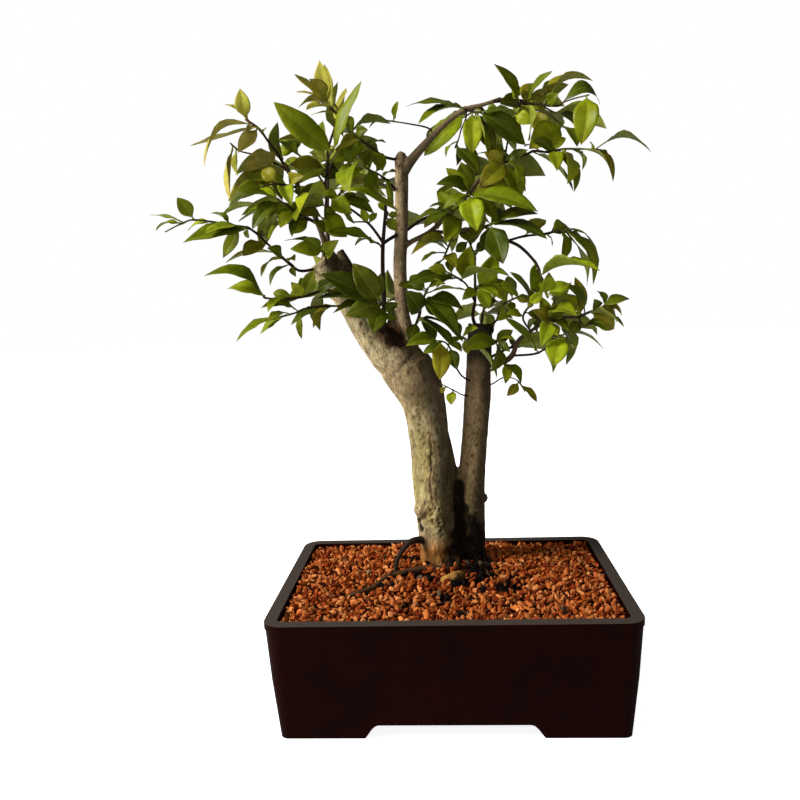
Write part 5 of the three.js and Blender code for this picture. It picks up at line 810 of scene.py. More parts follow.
def leaf_width(length, shown=0.0):
    """A leaf's width from its length and from the least width that it has to show."""
    wide = max(length * WIDTH_TO_LENGTH, min(shown, length * WIDEST_TO_LENGTH))
    return min(max(wide, LEAF_WIDTHS[0]), LEAF_WIDTHS[1])


class Leaf:
    """A blade from foot to tip. It looks as wide as shown from the side it faces: 1 is the front."""

    def __init__(self, foot, tip, shown, arch, facing):
        self.foot, self.arch = foot, arch
        self.length = float(np.linalg.norm(tip - foot))
        self.along = (tip - foot) / self.length
        self.width = leaf_width(self.length, shown)
        turn = math.acos(min(shown / self.width, 1))
        face = np.array([0.0, -facing, FACE_TILT])
        face -= self.along * (face @ self.along)
        face /= np.linalg.norm(face)
        aside = np.cross(self.along, face)
        if aside[2] * RISE_BEFORE_OUT + aside[0] * np.sign(foot[0] - CROWN_MIDDLE) < 0:
            aside = -aside
        self.normal = face * math.cos(turn) + aside * math.sin(turn)
        self.side = np.cross(self.normal, self.along)


# %% Leaves in front
DEFAULT_ARCH = 0.12  # height of a leaf's bow as a share of its length

leaves = {}
for name, _, _, route, rows in FRONT_STEMS:
    limb = limbs[name]
    depths = [depth for _, _, depth in route]
    seen = [limb.seen_at(foot_u, foot_v) for foot_u, foot_v, *_ in rows]
    leaves[name] = []
    for (_, _, tip_u, tip_v, depth, wide, *bow), t, place in zip(rows, seen, set_apart(seen, limb)):
        foot = limb.at(t)
        foot_depth = np.interp(t * (len(depths) - 1), range(len(depths)), depths)
        tip = from_photo(tip_u, tip_v, foot[1] + depth - foot_depth)
        pixel = (((foot + tip) / 2 - CAMERA_PLACE) @ VIEW) / FOCAL  # its size at the leaf
        tip = leaning_tip(solid_of(name), tip)
        if tip is not None:
            arch = bow[0] if bow else DEFAULT_ARCH
            leaves[name].append(Leaf(limb.smooth(place), tip, wide * pixel, arch, 1))
print("leaves in front:", sum(map(len, leaves.values())))


# %% [markdown]
# The far leaves were grown by repeatable chance: two by two along the stem, each pair a quarter
# turn on from the last. The same chance is repeated here, so that they lie where the solids lie.

# %% Leaves behind
FIRST_PAIR = 0.4  # share of the stem
FAR_PAIRS = 2
FAR_LEAF_LENGTHS = (32, 48)
FAR_SHOWN = (0.3, 0.9)
FAR_SPREAD = (0.6, 0.95)
FAR_FORWARD, FAR_END_FORWARD, FAR_DROOP = 0.5, 0.9, 0.25
CHANCE_FACTOR, CHANCE_STEP, CHANCE_SIZE = 1664525, 1013904223, 2 ** 32
chance_state = 35


def chance_between(low, high):
    global chance_state
    chance_state = (chance_state * CHANCE_FACTOR + CHANCE_STEP) % CHANCE_SIZE
    return low + (high - low) * chance_state / CHANCE_SIZE


for name, *_ in FAR_STEMS:
    limb = limbs[name]
    pairs = [FIRST_PAIR + (LAST_FOOT - FIRST_PAIR) * k / FAR_PAIRS for k in range(FAR_PAIRS + 1)]
    leaves[name] = []
    for i, place in enumerate(set_apart([t for t in pairs for _ in range(2)], limb)):
        heading = limb.heading(place)
        level = np.cross(heading, UP)
        level /= np.linalg.norm(level)
        aside = level if (i // 2) % 2 == 0 else np.cross(level, heading)
        spread = chance_between(*FAR_SPREAD) * (1 if i % 2 else -1)
        length = chance_between(*FAR_LEAF_LENGTHS)
        shown = chance_between(*FAR_SHOWN) * leaf_width(length)
        forward = FAR_END_FORWARD if i // 2 == FAR_PAIRS else FAR_FORWARD
        way = heading * forward + aside * spread - UP * FAR_DROOP
        tip = leaning_tip(name, limb.at(place) + way / np.linalg.norm(way) * length)
        if tip is not None:
            leaves[name].append(Leaf(limb.smooth(place), tip, shown, DEFAULT_ARCH, -1))
print("leaves behind:", sum(len(leaves[row[0]]) for row in FAR_STEMS))


# %% [markdown]
# ## Wood: tubes, one skin, and bark
#
# The trunks, the big limb and the roots grow into each other without a seam. Separate tubes would
# show creases where they meet, so each limb is first made as a closed tube, and the tubes are then
# turned into one skin by a voxel remesh, which works like cutting the shape out of tiny cubes and
# smoothing it. Bark relief goes on afterwards, because the remesh would wipe it away.

# %% A tube round a line
def tube(line, radii, sides, swell=1.0):
    """Points and faces of a closed round tube. Its frame is carried along, so it doesn't twist."""
    line = np.asarray(line)
    ways = np.gradient(line, axis=0)
    ways /= np.linalg.norm(ways, axis=1)[:, None]
    across = np.array([1.0, 0.2, 0.1])
    angles = np.arange(sides) * 2 * math.pi / sides
    points = []
    for middle, way, reach in zip(line, ways, np.asarray(radii)[:, None] * swell):
        across = across - way * (across @ way)
        across /= np.linalg.norm(across)
        other = np.cross(way, across)
        points.append(middle + (np.outer(np.cos(angles) * reach, across)
                                + np.outer(np.sin(angles) * reach, other)))
    first, last = len(line) * sides, len(line) * sides + 1
    faces = ring_faces(len(line), sides)
    faces += [(first, (k + 1) % sides, k) for k in range(sides)]
    faces += [(last, first - sides + k, first - sides + (k + 1) % sides) for k in range(sides)]
    return np.concatenate([*points, line[:1], line[-1:]]), faces


KNOBS = ((2, 0.030, 0.13, 1), (3, 0.022, -0.21, 2), (5, 0.012, 0.35, 0))  # count, height, turn, lag


def knobbly(seed, rings, sides):
    """Swellings that go round a limb in whole waves and turn slowly on their way up."""
    up = np.arange(rings)[:, None]
    angles = np.arange(sides) * 2 * math.pi / sides
    return sum((high * np.sin(count * angles + turn * up + lag * seed)
                for count, high, turn, lag in KNOBS), 1)


# %% The skin
VOXEL = 1.05
WOOD_STEP = 3.0
WOOD_SIDES, SLIM_SIDES = 28, 14
SLIM = 5  # radius of the wood that is too slim for swellings
THINNEST_IN_SKIN = 1.9  # thinner wood is left to plain tubes: it is only a few voxels wide
BURIED = [name for name in LIMBS if name.startswith("deep_root")]

skin_parts = []
for seed, name in enumerate(LIMBS):
    limb = limbs[name]
    kept = [t for t in limb.stations(WOOD_STEP, 4) if limb.radius(t) >= THINNEST_IN_SKIN]
    if name in BURIED or len(kept) < 3:
        continue
    line, radii = [limb.smooth(t) for t in kept], [limb.radius(t) for t in kept]
    if max(radii) > SLIM:
        skin_parts.append(tube(line, radii, WOOD_SIDES, knobbly(seed, len(line), WOOD_SIDES)))
    else:
        skin_parts.append(tube(line, radii, SLIM_SIDES))

wood = new_object("trunks_and_roots", *gather(skin_parts))
add_modifier(wood, "REMESH", mode="VOXEL", voxel_size=VOXEL * MM)
add_modifier(wood, "SMOOTH", factor=0.5, iterations=5)
apply_modifiers(wood)
print("wood:", len(wood.data.vertices), "points,", triangles(wood), "triangles")


# %% [markdown]
# ## Bark relief
#
# Jaboticaba bark is thin and smooth. It flakes off in plates, so it is mottled more than it is
# rough, and it carries old branch scars, small pits and one long crack up the front of the main
# trunk. Each mark is named by the pixel at which the photograph shows it, and a ray from the camera
# finds its place on the skin. Points near it are pushed in or out and coloured: the crack in its own
# red-brown, the hollows of the scars and the pits in painted shade.

# %% Reading the skin
def read_vectors(items, attribute):
    values = np.empty(len(items) * 3, dtype=np.float32)
    items.foreach_get(attribute, values)
    return values.reshape(-1, 3)


def surface_of(obj):
    return BVHTree.FromObject(obj, bpy.context.evaluated_depsgraph_get())


def seen_point(surface, u, v):
    """The point of a surface that the camera sees at a pixel, in millimetres."""
    ray = Vector(pixel_ray(u, v).tolist()).normalized()
    place, _, _, _ = surface.ray_cast(Vector(in_metres(CAMERA_PLACE).tolist()), ray)
    return (np.array(place) - POT_MIDDLE) / MM


bark_points = (read_vectors(wood.data.vertices, "co") - POT_MIDDLE) / MM
bark_normals = read_vectors(wood.data.vertex_normals, "vector").astype(float)
skin = surface_of(wood)


def bark_noise(size, squash, seed=0.0):
    """Smooth chance between about -1 and 1, whose lumps are size wide and size/squash high."""
    scaled = bark_points / size * (1, 1, squash) + seed
    return np.array([noise.noise(Vector(point)) for point in scaled.tolist()])


def away_from(u, v):
    """How far each point of the skin is from the one that shows at a pixel."""
    return np.linalg.norm(bark_points - seen_point(skin, u, v), axis=1)


def along_marks(pixels, reach):
    """1 on a line of marks on the bark, fading to 0 at about the reach."""
    line = [seen_point(skin, u, v) for u, v in pixels]
    nearest = np.full(len(bark_points), np.inf)
    for start, end in zip(line[:-1], line[1:]):
        span = end - start
        share = np.clip(((bark_points - start) @ span) / (span @ span), 0, 1)[:, None]
        nearest = np.minimum(nearest, np.linalg.norm(bark_points - start - share * span, axis=1))
    return np.exp(-(nearest / reach) ** 2)


print("the skin lies from", bark_points.min(axis=0).round(), "to", bark_points.max(axis=0).round())

# %% The crack, a ridge and swellings
TRUNK_CRACK = ((430, 436), (431.5, 447), (430.5, 458), (431.8, 469), (430, 480), (430.6, 488),
               (431.2, 496), (433.5, 505))
SECOND_SCAR_RIDGE = ((468, 499), (474, 500.5), (481, 499.5), (487, 498))
SWELLINGS = (  # u, v, reach and height in mm; a hollow has a height below 0
    (418.5, 511, 6, 2.2),  # the knuckle at the left of the trunk's foot
    (430, 356, 8, -2.6), (421, 351, 6, 1.6), (427, 362, 9, -1.0),  # the shoulder by the leader
    (424, 548, 5, 1.0), (436, 552, 5, 0.9), (430, 541, 4, -0.8),  # folds over the roots
)
CRACK_REACHES = (0.7, 2.4, 3.6)  # of the gap, its lips and the stained band along it
CRACK_DEPTH, LIP_HEIGHT = 0.9, 0.3
RIDGE_REACH, RIDGE_HEIGHT = 1.6, 0.8

crack_core, crack_lip, crack_band = (along_marks(TRUNK_CRACK, reach) for reach in CRACK_REACHES)
push = LIP_HEIGHT * crack_lip - CRACK_DEPTH * crack_core
push += RIDGE_HEIGHT * along_marks(SECOND_SCAR_RIDGE, RIDGE_REACH)
for u, v, reach, swelling in SWELLINGS:
    push += swelling * np.exp(-(away_from(u, v) / reach) ** 2)
print("crack, ridge and swellings from", round(push.min(), 2), "to", round(push.max(), 2), "mm")

# %% Scars and pits
SCARS = (  # u, v, radius and height of the ring in mm
    (430, 510.5, 3.1, 0.8), (439, 510, 2.2, 0.7), (432.5, 520.5, 2.2, 0.7), (440, 523, 2.0, 0.8),
    (441, 531, 2.3, 0.7), (425, 503, 1.6, 0.6), (477, 444.5, 2.1, 0.7), (476.2, 513, 2.6, 0.8),
    (417, 410, 2.0, 0.6), (474, 471, 1.7, 0.5), (424, 444, 1.5, 0.4), (419, 431, 1.6, 0.5),
    (409, 372, 2.4, 0.6), (445, 420, 1.8, 0.5), (402, 345, 1.8, 0.5), (481, 400, 1.5, 0.4),
    (362, 323, 2.4, 0.7), (378, 352, 1.8, 0.6),
)
PITS = (  # u, v and radius in mm
    (432.3, 454.4, 1.6), (431.5, 470, 1.4), (428, 433, 1.0), (420, 425, 1.0), (439, 447, 1.2),
    (423, 481, 1.1), (444, 474, 1.2), (436, 490, 1.0), (413, 395, 1.3), (425, 392, 1.1),
    (447, 505, 1.4), (427, 530, 1.6), (480, 430, 0.9), (472, 456, 0.9), (483, 480, 1.0),
    (364, 334, 1.4), (367, 353, 1.3), (371, 343, 1.0), (386, 366, 1.2),
)

RING_WIDTH, HOLLOW_REACH, HOLLOW_DEPTH = 0.35, 0.6, 0.7  # shares of a scar's radius and ring height
PIT_DEPTH = 0.7
# painted shade: how much a scar's hollow and a pit are darkened in colour
HOLLOW_SHADE, PIT_SHADE = 0.75, 0.8

# Round scars break up as the trunk thickens, so their rings are uneven
uneven = 1 + 0.55 * bark_noise(2.4, 0.8, 61.0)
mark_shade = np.zeros(len(bark_points))
for u, v, radius, ring_height in SCARS:
    away = away_from(u, v) * uneven / radius
    hollow = np.exp(-(away / HOLLOW_REACH) ** 2)
    push += ring_height * (np.exp(-((away - 1) / RING_WIDTH) ** 2) - HOLLOW_DEPTH * hollow)
    mark_shade = np.maximum(mark_shade, HOLLOW_SHADE * hollow)
for u, v, radius in PITS:
    pit = np.exp(-(away_from(u, v) * uneven / radius) ** 2)
    push -= PIT_DEPTH * pit
    mark_shade = np.maximum(mark_shade, PIT_SHADE * pit)
print("scars:", len(SCARS), "pits:", len(PITS))


# %% [markdown]
# The distance to each limb's own surface says which limb a point belongs to, so that relief and
# colours can change softly where one limb grows out of another.

# %% Which limb a point belongs to
# painted shade: the crotch in the fork, the collar between the trunks and the right root are dark
BARK_COLOURS = {
    "trunk": "#98865e", "second_trunk": "#8c7551", "collar": "#33281a", "flare": "#7d6e4c",
    "left_limb": "#a8966f", "crotch": "#2a1b10", "leader": "#b89e78", "right_branch": "#64543c",
    "long_branch": "#574732", "low_branch": "#4d3e2c", "left_stem": "#5b4a36",
    "crown_stem": "#5b4a36", "dark_twig": "#2b211b", "dark_link": "#2b211b", "dead_stub": "#5e4c38",
    "right_low_branch": "#4a382a", "burl": "#8d7650", "knob": "#8a7550", "arch_root": "#272017",
    "surface_root": "#452d1a", "knuckle_root": "#a07434", "right_root": "#1d140d",
}
LIMB_BLEND = 1.6  # over which the colours of two limbs run into each other
LIMB_STEP = 2.5  # between the places of a limb from which its distance is taken
LEAST_SHARE = 1e-9  # keeps the shares of a point that is far from every limb from being 0 / 0


def closeness(limb):
    """1 inside a limb, fading to 0 outside it."""
    gap = np.full(len(bark_points), np.inf)
    for t in limb.stations(LIMB_STEP, 3):
        gap = np.minimum(gap, np.linalg.norm(bark_points - limb.smooth(t), axis=1) - limb.radius(t))
    return np.exp(-np.maximum(gap, 0) / LIMB_BLEND) + LEAST_SHARE


shares = {name: closeness(limbs[name]) for name in BARK_COLOURS}
total = sum(shares.values())
shares = {name: share / total for name, share in shares.items()}
old_wood = shares["trunk"] + shares["second_trunk"] + shares["left_limb"] + shares["burl"]
print("old wood is", round(100 * old_wood.mean()), "% of the skin")


# %% [markdown]
# Relief is a sum of noises, each as wide as the real thing it stands for: lumps of a centimetre,
# flaking plates of 4 mm and a grain of 2 mm, all drawn out along the trunk. The foot of the trunks
# is more gnarled, and the second one's top was torn off.

# %% Relief of the bark
FOOT_TOP, FOOT_BLEND = 128, 30  # heights above the ground
TORN_FROM, TORN_BLEND = 288, 8
ROUGH_BARK = ((434, 516, 9), (440, 527, 9), (428, 508, 6))  # where the scars crowd together
LUMP_HEIGHT, PLATE_HEIGHT, GRAIN_HEIGHT, SLIM_GRAIN_HEIGHT = 0.50, 0.30, 0.22, 0.10
FOOT_GNARLS, FOOT_PLATES, FOOT_GRAIN = 1.2, 0.45, 0.35
SPLINTER_HEIGHT, FLAKE_HEIGHT = 2.2, 0.9

height = bark_points[:, 2]
lumps, plates, grain = bark_noise(11, 0.45), bark_noise(4.2, 0.5, 7.0), bark_noise(1.8, 0.35, 3.0)
gnarls, splinters = bark_noise(5.5, 0.7, 11.0), bark_noise(4.5, 1.0, 41.0)
flakes = bark_noise(3.0, 0.6, 51.0)
foot = np.clip((FOOT_TOP - height) / FOOT_BLEND, 0, 1)
torn = np.clip((height - TORN_FROM) / TORN_BLEND, 0, 1) * shares["second_trunk"]
rough_bark = sum(np.exp(-(away_from(u, v) / reach) ** 2) for u, v, reach in ROUGH_BARK)

push += (old_wood * (LUMP_HEIGHT * lumps + PLATE_HEIGHT * plates + GRAIN_HEIGHT * grain)
         + (1 - old_wood) * SLIM_GRAIN_HEIGHT * grain)
push += foot * (FOOT_GNARLS * gnarls + FOOT_PLATES * plates + FOOT_GRAIN * grain)
push += torn * SPLINTER_HEIGHT * splinters
push += (crack_band + rough_bark) * FLAKE_HEIGHT * flakes
relief = in_metres(bark_points + bark_normals * push[:, None])
wood.data.vertices.foreach_set("co", relief.astype(np.float32).ravel())
wood.data.update()
print("bark relief from", round(push.min(), 2), "to", round(push.max(), 2), "mm")


# %% [markdown]
# ## Bark colour
#
# The skin is painted in thin layers over each limb's own colour. A layer is a colour and how much of
# it each point takes: pale fresh plates, green algae, brown specks, the red-brown foot, and last the
# dark of the marks, which is partly painted shade, and painted shade on the side away from the key
# lamp and in the gap between the trunks.

# %% Painting in layers
def smoothstep(value, start, end):
    """0 up to the start and 1 from the end on. It falls where the end is the lower one."""
    share = np.clip((value - start) / (end - start), 0, 1)
    return share * share * (3 - 2 * share)


def mix(colours, code, share):
    """Moves each colour towards another hex colour."""
    share = np.clip(share, 0, 1)[:, None]
    return colours * (1 - share) + np.array(to_linear(code)[:3]) * share


SHADED_SIDE = np.array([0.93, 0.30, -0.20])  # away from the key lamp: painted shade on the side that the lamp doesn't reach
TRUNK_GAP_SHADE = ((460, 486), (460, 500), (459.5, 520), (458, 545))  # painted shade in the narrow gap between the two trunks

pale_wood = shares["trunk"] + shares["left_limb"] + shares["burl"] + shares["flare"]
second, moss = shares["second_trunk"], bark_noise(16, 0.6, 21.0)
specks = bark_noise(2.3, 0.6, 31.0)
algae = (smoothstep(bark_noise(13, 0.5, 81.0), -0.35, 0.35)
         * smoothstep(height, 112, 126) * smoothstep(height, 226, 186))
# painted shade: the bark darkens on the side that faces away from the key lamp
side_shade = smoothstep(bark_normals @ SHADED_SIDE, -0.46, 0.29) * smoothstep(height, 84, 96)
# painted shade: the bark in the narrow gap between the trunks is nearly black
gap_shade = smoothstep(along_marks(TRUNK_GAP_SHADE, 7.0) + 0.15 * grain, 0.3, 0.6)

BARK_LAYERS = (
    ("#c2b48c", pale_wood * np.clip(plates * 1.5, 0, 0.45)),  # plates that have just flaked
    ("#a3906c", second * np.clip(plates, 0, 0.25)),
    ("#6b6636", old_wood * np.clip(moss * 1.5 - 0.1, 0, 0.5)),
    ("#5e4b35", old_wood * np.clip(-lumps * 1.2 - 0.15, 0, 0.5)),  # painted shade in the hollows between the lumps
    ("#4d3324", (old_wood + shares["leader"]) * np.clip(specks * 2.6 - 0.55, 0, 0.6)),
    ("#6b5542", second * 0.7 * smoothstep(height, 222, 256)),
    ("#2b241b", second * smoothstep(height + 3 * lumps, 262, 278)),  # the dead, torn top
    ("#4a2c1c", crack_band * 0.75 * np.clip(0.4 + 2.6 * specks, 0, 1)),
    ("#b59a5e", crack_band * 0.5 * np.clip(2.4 * flakes, 0, 1)),
    # painted shade in the hollows of the rough bark, where the flakes lie low
    ("#3d2c17", rough_bark * 0.7 * np.clip(-3 * flakes - 0.2, 0, 1)),
    ("#8b8238", shares["trunk"] * 0.34 * algae),
    ("#b08f6c", shares["trunk"] * 0.35 * smoothstep(height, 225, 255)),
    ("#85531f", shares["trunk"] * 0.9 * smoothstep(height - 5 * plates, FOOT_TOP, FOOT_TOP - 20)),
    # painted shade in the hollows of the scars and in the pits
    ("#201409", np.clip(mark_shade, 0, 0.9)),
    ("#4a2c1c", crack_core * 0.85),
    # painted shade on the side away from the key lamp
    ("#1f190f", side_shade * 0.76),
    # painted shade, nearly black, in the gap between the two trunks
    ("#080503", gap_shade * 0.97),
)
bark_colours = sum(share[:, None] * np.array(to_linear(BARK_COLOURS[name])[:3])
                   for name, share in shares.items())
for code, share in BARK_LAYERS:
    bark_colours = mix(bark_colours, code, share)
print("layers of bark colour:", len(BARK_LAYERS))

# %% [markdown]
# The nearly black places come last. They are painted shade, where the trunks meet the soil and each
# other: the second trunk's foot, the pit at the roots and the hollow of the fork. Each is a pixel of
# the photograph and a reach, and noise gives it a ragged edge.

# %% Painted shade at the trunks' foot and in the fork
# painted shade at the foot of the trunks and in the gap between them
FOOT_SHADE_PLACES = ((457, 535, 9), (477, 533, 10), (468, 545, 10), (452, 551, 7), (450, 564, 8),
              (464, 560, 10), (470, 572, 11), (482, 571, 10), (484, 556, 8), (419, 519, 4),
              (422, 528, 4), (469, 521, 9), (465, 508, 5), (479, 543, 10), (474, 556, 10))
# painted shade in the hollow of the fork: a brown ring round a dark middle
FORK_SHADE_PLACES = ((383, 327, 6), (390, 332, 8), (397, 336, 7), (391, 341, 7), (399, 343, 5))
PAINTED_SHADE_PATCHES = (  # painted shade: places, colour, share, and how much wider than its reach a place is
    (FOOT_SHADE_PLACES, "#0b0704", 0.95, 1.0),
    (FORK_SHADE_PLACES, "#63432a", 0.6, 1.45),
    (FORK_SHADE_PLACES, "#1c1009", 0.92, 0.95),
)

# painted shade: each place darkens the bark towards its colour, with a ragged edge
for places, code, share, wider in PAINTED_SHADE_PATCHES:
    for u, v, reach in places:
        away = away_from(u, v) / (reach * wider) + 0.30 * plates + 0.22 * grain
        bark_colours = mix(bark_colours, code, share * smoothstep(away, 1.15, 0.65))
paint(wood.data, "bark_colour", bark_colours)
print("colours of the bark painted for", len(bark_points), "points")


# %% [markdown]
# The painted colour carries what belongs to a place. The material adds what repeats: blotches of
# 5 to 15 mm where plates have flaked, fine lengthwise grain, and dark pores about 1 mm wide. Dry
# bark scatters light widely, so its roughness is high and only slightly lower on the pale plates.

# %% Bark material
BARK_STRETCH = (1, 1, 0.4)  # patterns are drawn out along the trunk
BLOTCH, FINE_GRAIN, PORE_PITCH, CRUST = 7, 1.3, 2.6, 2.1  # widths in mm
CRUST_BROWN, PORE_BROWN = "#4b3526", "#1d130b"


def bark_material(name, contrast, pore_share, relief):
    material, add = new_material(name)
    place = add("TexCoord").outputs["Object"]
    mm = add("VectorMath", {"operation": "SCALE", "Scale": 1 / MM}, {"Vector": place})
    stretched = add("VectorMath", {"operation": "MULTIPLY", 1: BARK_STRETCH}, {0: mm})
    blotch = add("TexNoise", {"Scale": 1 / BLOTCH, "Detail": 5, "Roughness": 0.62},
                 {"Vector": stretched})
    fine = add("TexNoise", {"Scale": 1 / FINE_GRAIN, "Detail": 4, "Roughness": 0.6},
               {"Vector": stretched})
    pores = add("TexVoronoi", {"Scale": 1 / PORE_PITCH}, {"Vector": stretched})
    pore_dots = add("MapRange", {"From Min": 0.08, "From Max": 0.22, "To Min": 1, "To Max": 0},
                    {"Value": pores})
    pore_gate = add("Math", {"operation": "GREATER_THAN", 1: 1 - pore_share},
                    {0: pores.outputs["Color"]})
    pore = add("Math", {"operation": "MULTIPLY"}, {0: pore_dots, 1: pore_gate})
    painted = add("Attribute", {"attribute_name": "bark_colour"})
    blotch_light = add("MapRange", {"From Min": 0.32, "From Max": 0.68, "To Min": 1 - contrast,
                                    "To Max": 1 + contrast}, {"Value": blotch})
    fine_light = add("MapRange", {**NOISE_SPREAD, "To Min": 1 - contrast * 1.1,
                                  "To Max": 1 + contrast * 0.9}, {"Value": fine})
    light = add("Math", {"operation": "MULTIPLY"}, {0: blotch_light, 1: fine_light})
    varied = add("VectorMath", {"operation": "SCALE"}, {0: painted, "Scale": light})
    crust = add("TexNoise", {"Scale": 1 / CRUST, "Detail": 3, "Roughness": 0.7}, {"Vector": mm})
    crust_share = add("MapRange", {"From Min": 0.54, "From Max": 0.66, "To Max": contrast * 1.4},
                      {"Value": crust})
    crusted = add("MixRGB", {"Color2": to_linear(CRUST_BROWN)}, {"Fac": crust_share, "Color1": varied})
    colour = add("MixRGB", {"Color2": to_linear(PORE_BROWN)}, {"Fac": pore, "Color1": crusted})
    rough = add("MapRange", {**NOISE_SPREAD, "To Min": 0.72, "To Max": 0.92}, {"Value": fine})
    depth = add("Math", {"operation": "MULTIPLY_ADD", 1: -0.6}, {0: pore, 2: fine})
    bump = add("Bump", {"Strength": relief, "Distance": 0.9 * MM}, {"Height": depth})
    shader = add("BsdfPrincipled", {"IOR": 1.45, "Specular IOR Level": 0.1},
                 {"Base Color": colour, "Roughness": rough, "Normal": bump})
    add("OutputMaterial", links={"Surface": shader})
    return material


old_bark = bark_material("jaboticaba_bark_dry_and_flaking", 0.34, 0.28, 0.9)
twig_bark = bark_material("jaboticaba_twig_bark_thin_and_dark", 0.22, 0.12, 0.5)
finish_piece(wood, old_bark, "bark", "tree")
print("bark on", triangles(wood), "triangles")


# %% [markdown]
# The thin ends of the branches are plain tubes, which start inside the skin. The thick roots that
# hold the tree lie in the soil, where nobody sees them, and are kept as simple tapered tubes.

# %% Thin branches and buried roots
THIN_SIDES = 10
THIN_END, THIN_FOOT = 2.6, 5.5  # a thin branch tapers below the one and starts below the other
BURIED_STEP = 6.0
BURIED_COLOUR = "#4a3322"


def plain_tubes(name, colours, step):
    """One piece of closed tubes along whole limbs, each with its own colour."""
    parts = []
    for limb_name in colours:
        limb = limbs[limb_name]
        along = limb.stations(step, 6)
        parts.append(tube([limb.smooth(t) for t in along], [limb.radius(t) for t in along], THIN_SIDES))
    obj = new_object(name, *gather(parts))
    paint(obj.data, "bark_colour", np.concatenate([
        np.tile(to_linear(code)[:3], (len(points), 1))
        for (points, _), code in zip(parts, colours.values())]))
    finish_piece(obj, twig_bark, "bark", "tree")
    print(name + ":", triangles(obj), "triangles")


plain_tubes("thin_branches", {name: BARK_COLOURS[name] for name in LIMBS if name not in BURIED
                              and limbs[name].radii.min() < THIN_END
                              and limbs[name].radii.max() < THIN_FOOT}, WOOD_STEP)
plain_tubes("buried_roots", dict.fromkeys(BURIED, BURIED_COLOUR), BURIED_STEP)


# %% [markdown]
# ## Twigs
#
# A jaboticaba twig is a thin wire with a slight knee at every pair of leaves. Old twigs are dark
# brown. The ends that grew this year are green to reddish. Each solid of leafy stems gets one piece
# of twigs and one of leaves, and the solid's own plain mesh is hidden.

# %% Twigs of each leafy stem
TWIG_SIDES = 8
TWIG_STEP = 2.5
TWIG_SLIMMER = 0.85  # than the solid's, which had to be stout
KNEE, KNEE_LENGTH = 0.22, 1.8  # how much, and over what length, a twig swells at a leaf's foot
FRESH_FROM, FRESH_BLEND = 0.45, 0.5  # shares of the stem where this year's growth begins
YOUNG_STEMS = ("shoot_top_left", "shoot_left_hanging", "spray_crown_top")
OLD_TWIG, FRESH_TWIG, YOUNG_TWIG = "#2c1f17", "#55522a", "#6d4a2a"


def twig_part(name):
    limb = limbs[name]
    shares = np.array(limb.stations(TWIG_STEP, 5))
    line = np.array([limb.smooth(t) for t in shares])
    radii = np.array([limb.radius(t) for t in shares]) * TWIG_SLIMMER
    for leaf in leaves[name]:
        radii += KNEE * np.exp(-(np.linalg.norm(line - leaf.foot, axis=1) / KNEE_LENGTH) ** 2)
    points, faces = tube(line, radii, TWIG_SIDES)
    point_shares = np.concatenate([np.repeat(shares, TWIG_SIDES), [0, 1]])
    fresh = np.clip((point_shares - FRESH_FROM) / FRESH_BLEND, 0, 1) ** 1.5
    old = np.tile(to_linear(OLD_TWIG)[:3], (len(points), 1))
    return (points, faces), mix(old, YOUNG_TWIG if name in YOUNG_STEMS else FRESH_TWIG, fresh)


twig_total = 0
for node, members in families.items():
    parts, colours = zip(*(twig_part(name) for name in members))
    twigs = new_object(node + "_twigs", *gather(parts))
    paint(twigs.data, "bark_colour", np.concatenate(colours))
    finish_piece(twigs, twig_bark, "bark", node)
    twig_total += triangles(twigs)
print("twigs:", len(families), "pieces,", twig_total, "triangles")


# %% [markdown]
# ## The shape of a leaf
#
# The leaf is lance-shaped: wedge-shaped at the stalk, widest a little below its middle, and drawn
# out to a fine tip. Its halves fold up along the midrib, its edge waves a little and its tip bends.
# It is made as a closed shell, a third of a millimetre thick, with a keel below the midrib. The
# outline comes from the product of two powers, which gives the wedge and the drawn-out tip at once.
#
# Every leaf is the same net of points, bent in its own way, so the faces are worked out only once.

# %% The net of a leaf
ALONG = 14  # rows of points from foot to tip
ACROSS = np.array([-1, -0.72, -0.4, -0.1, 0, 0.1, 0.4, 0.72, 1])


def leaf_faces(rows, columns):
    """Top, underside, both edges and both ends of a shell whose points are all of the top first."""
    under = rows * columns
    faces = []
    for r in range(rows - 1):
        for i in range(r * columns, (r + 1) * columns - 1):
            faces.append((i, i + 1, i + columns + 1, i + columns))
            faces.append((under + i, under + i + columns, under + i + columns + 1, under + i + 1))
        left, right = r * columns, (r + 1) * columns - 1
        faces.append((left, left + columns, under + left + columns, under + left))
        faces.append((right, under + right, under + right + columns, right + columns))
    for c in range(columns - 1):
        end = (rows - 1) * columns + c
        faces.append((c, under + c, under + c + 1, c + 1))
        faces.append((end, end + 1, under + end + 1, under + end))
    return faces


LEAF_FACES = leaf_faces(ALONG, len(ACROSS))
EDGE = np.tile(np.abs(ACROSS), 2 * ALONG)  # for each point, 0 on the midrib and 1 on the edge
BELOW = np.repeat([False, True], ALONG * len(ACROSS))
print("a leaf has", len(EDGE), "points and", 2 * len(LEAF_FACES), "triangles")

# %% One leaf as a closed shell
STALK, STALK_RADIUS = 4.2, 0.5  # of the bare stalk before the blade
LONGEST_STALK = 0.2  # as a share of a short leaf
LEAF_THICKNESS, LEAF_EDGE = 0.30, 0.12
KEEL, GROOVE, RIB_SHARE = 0.35, 0.12, 0.09  # depths below and above the midrib, and its width
BASE_POWER, TIP_POWER = 0.74, 1.00
WIDEST = BASE_POWER / (BASE_POWER + TIP_POWER)
PEAK = WIDEST ** BASE_POWER * (1 - WIDEST) ** TIP_POWER
LEAF_CHANCES = (  # least and most, in the order in which each leaf draws them
    (0.16, 0.46),  # fold of the halves
    (0, 2 * math.pi),  # where the edge's waves start
    (1.5, 3.0),  # waves along the edge
    (0.03, 0.11),  # their height as a share of the width
    (-0.045, 0.045),  # sickle bend as a share of the length
    (-0.45, 0.45),  # twist
    (-0.12, 0.24),  # cupping of the edges
    (0.0, 0.10),  # droop as a share of the length
)


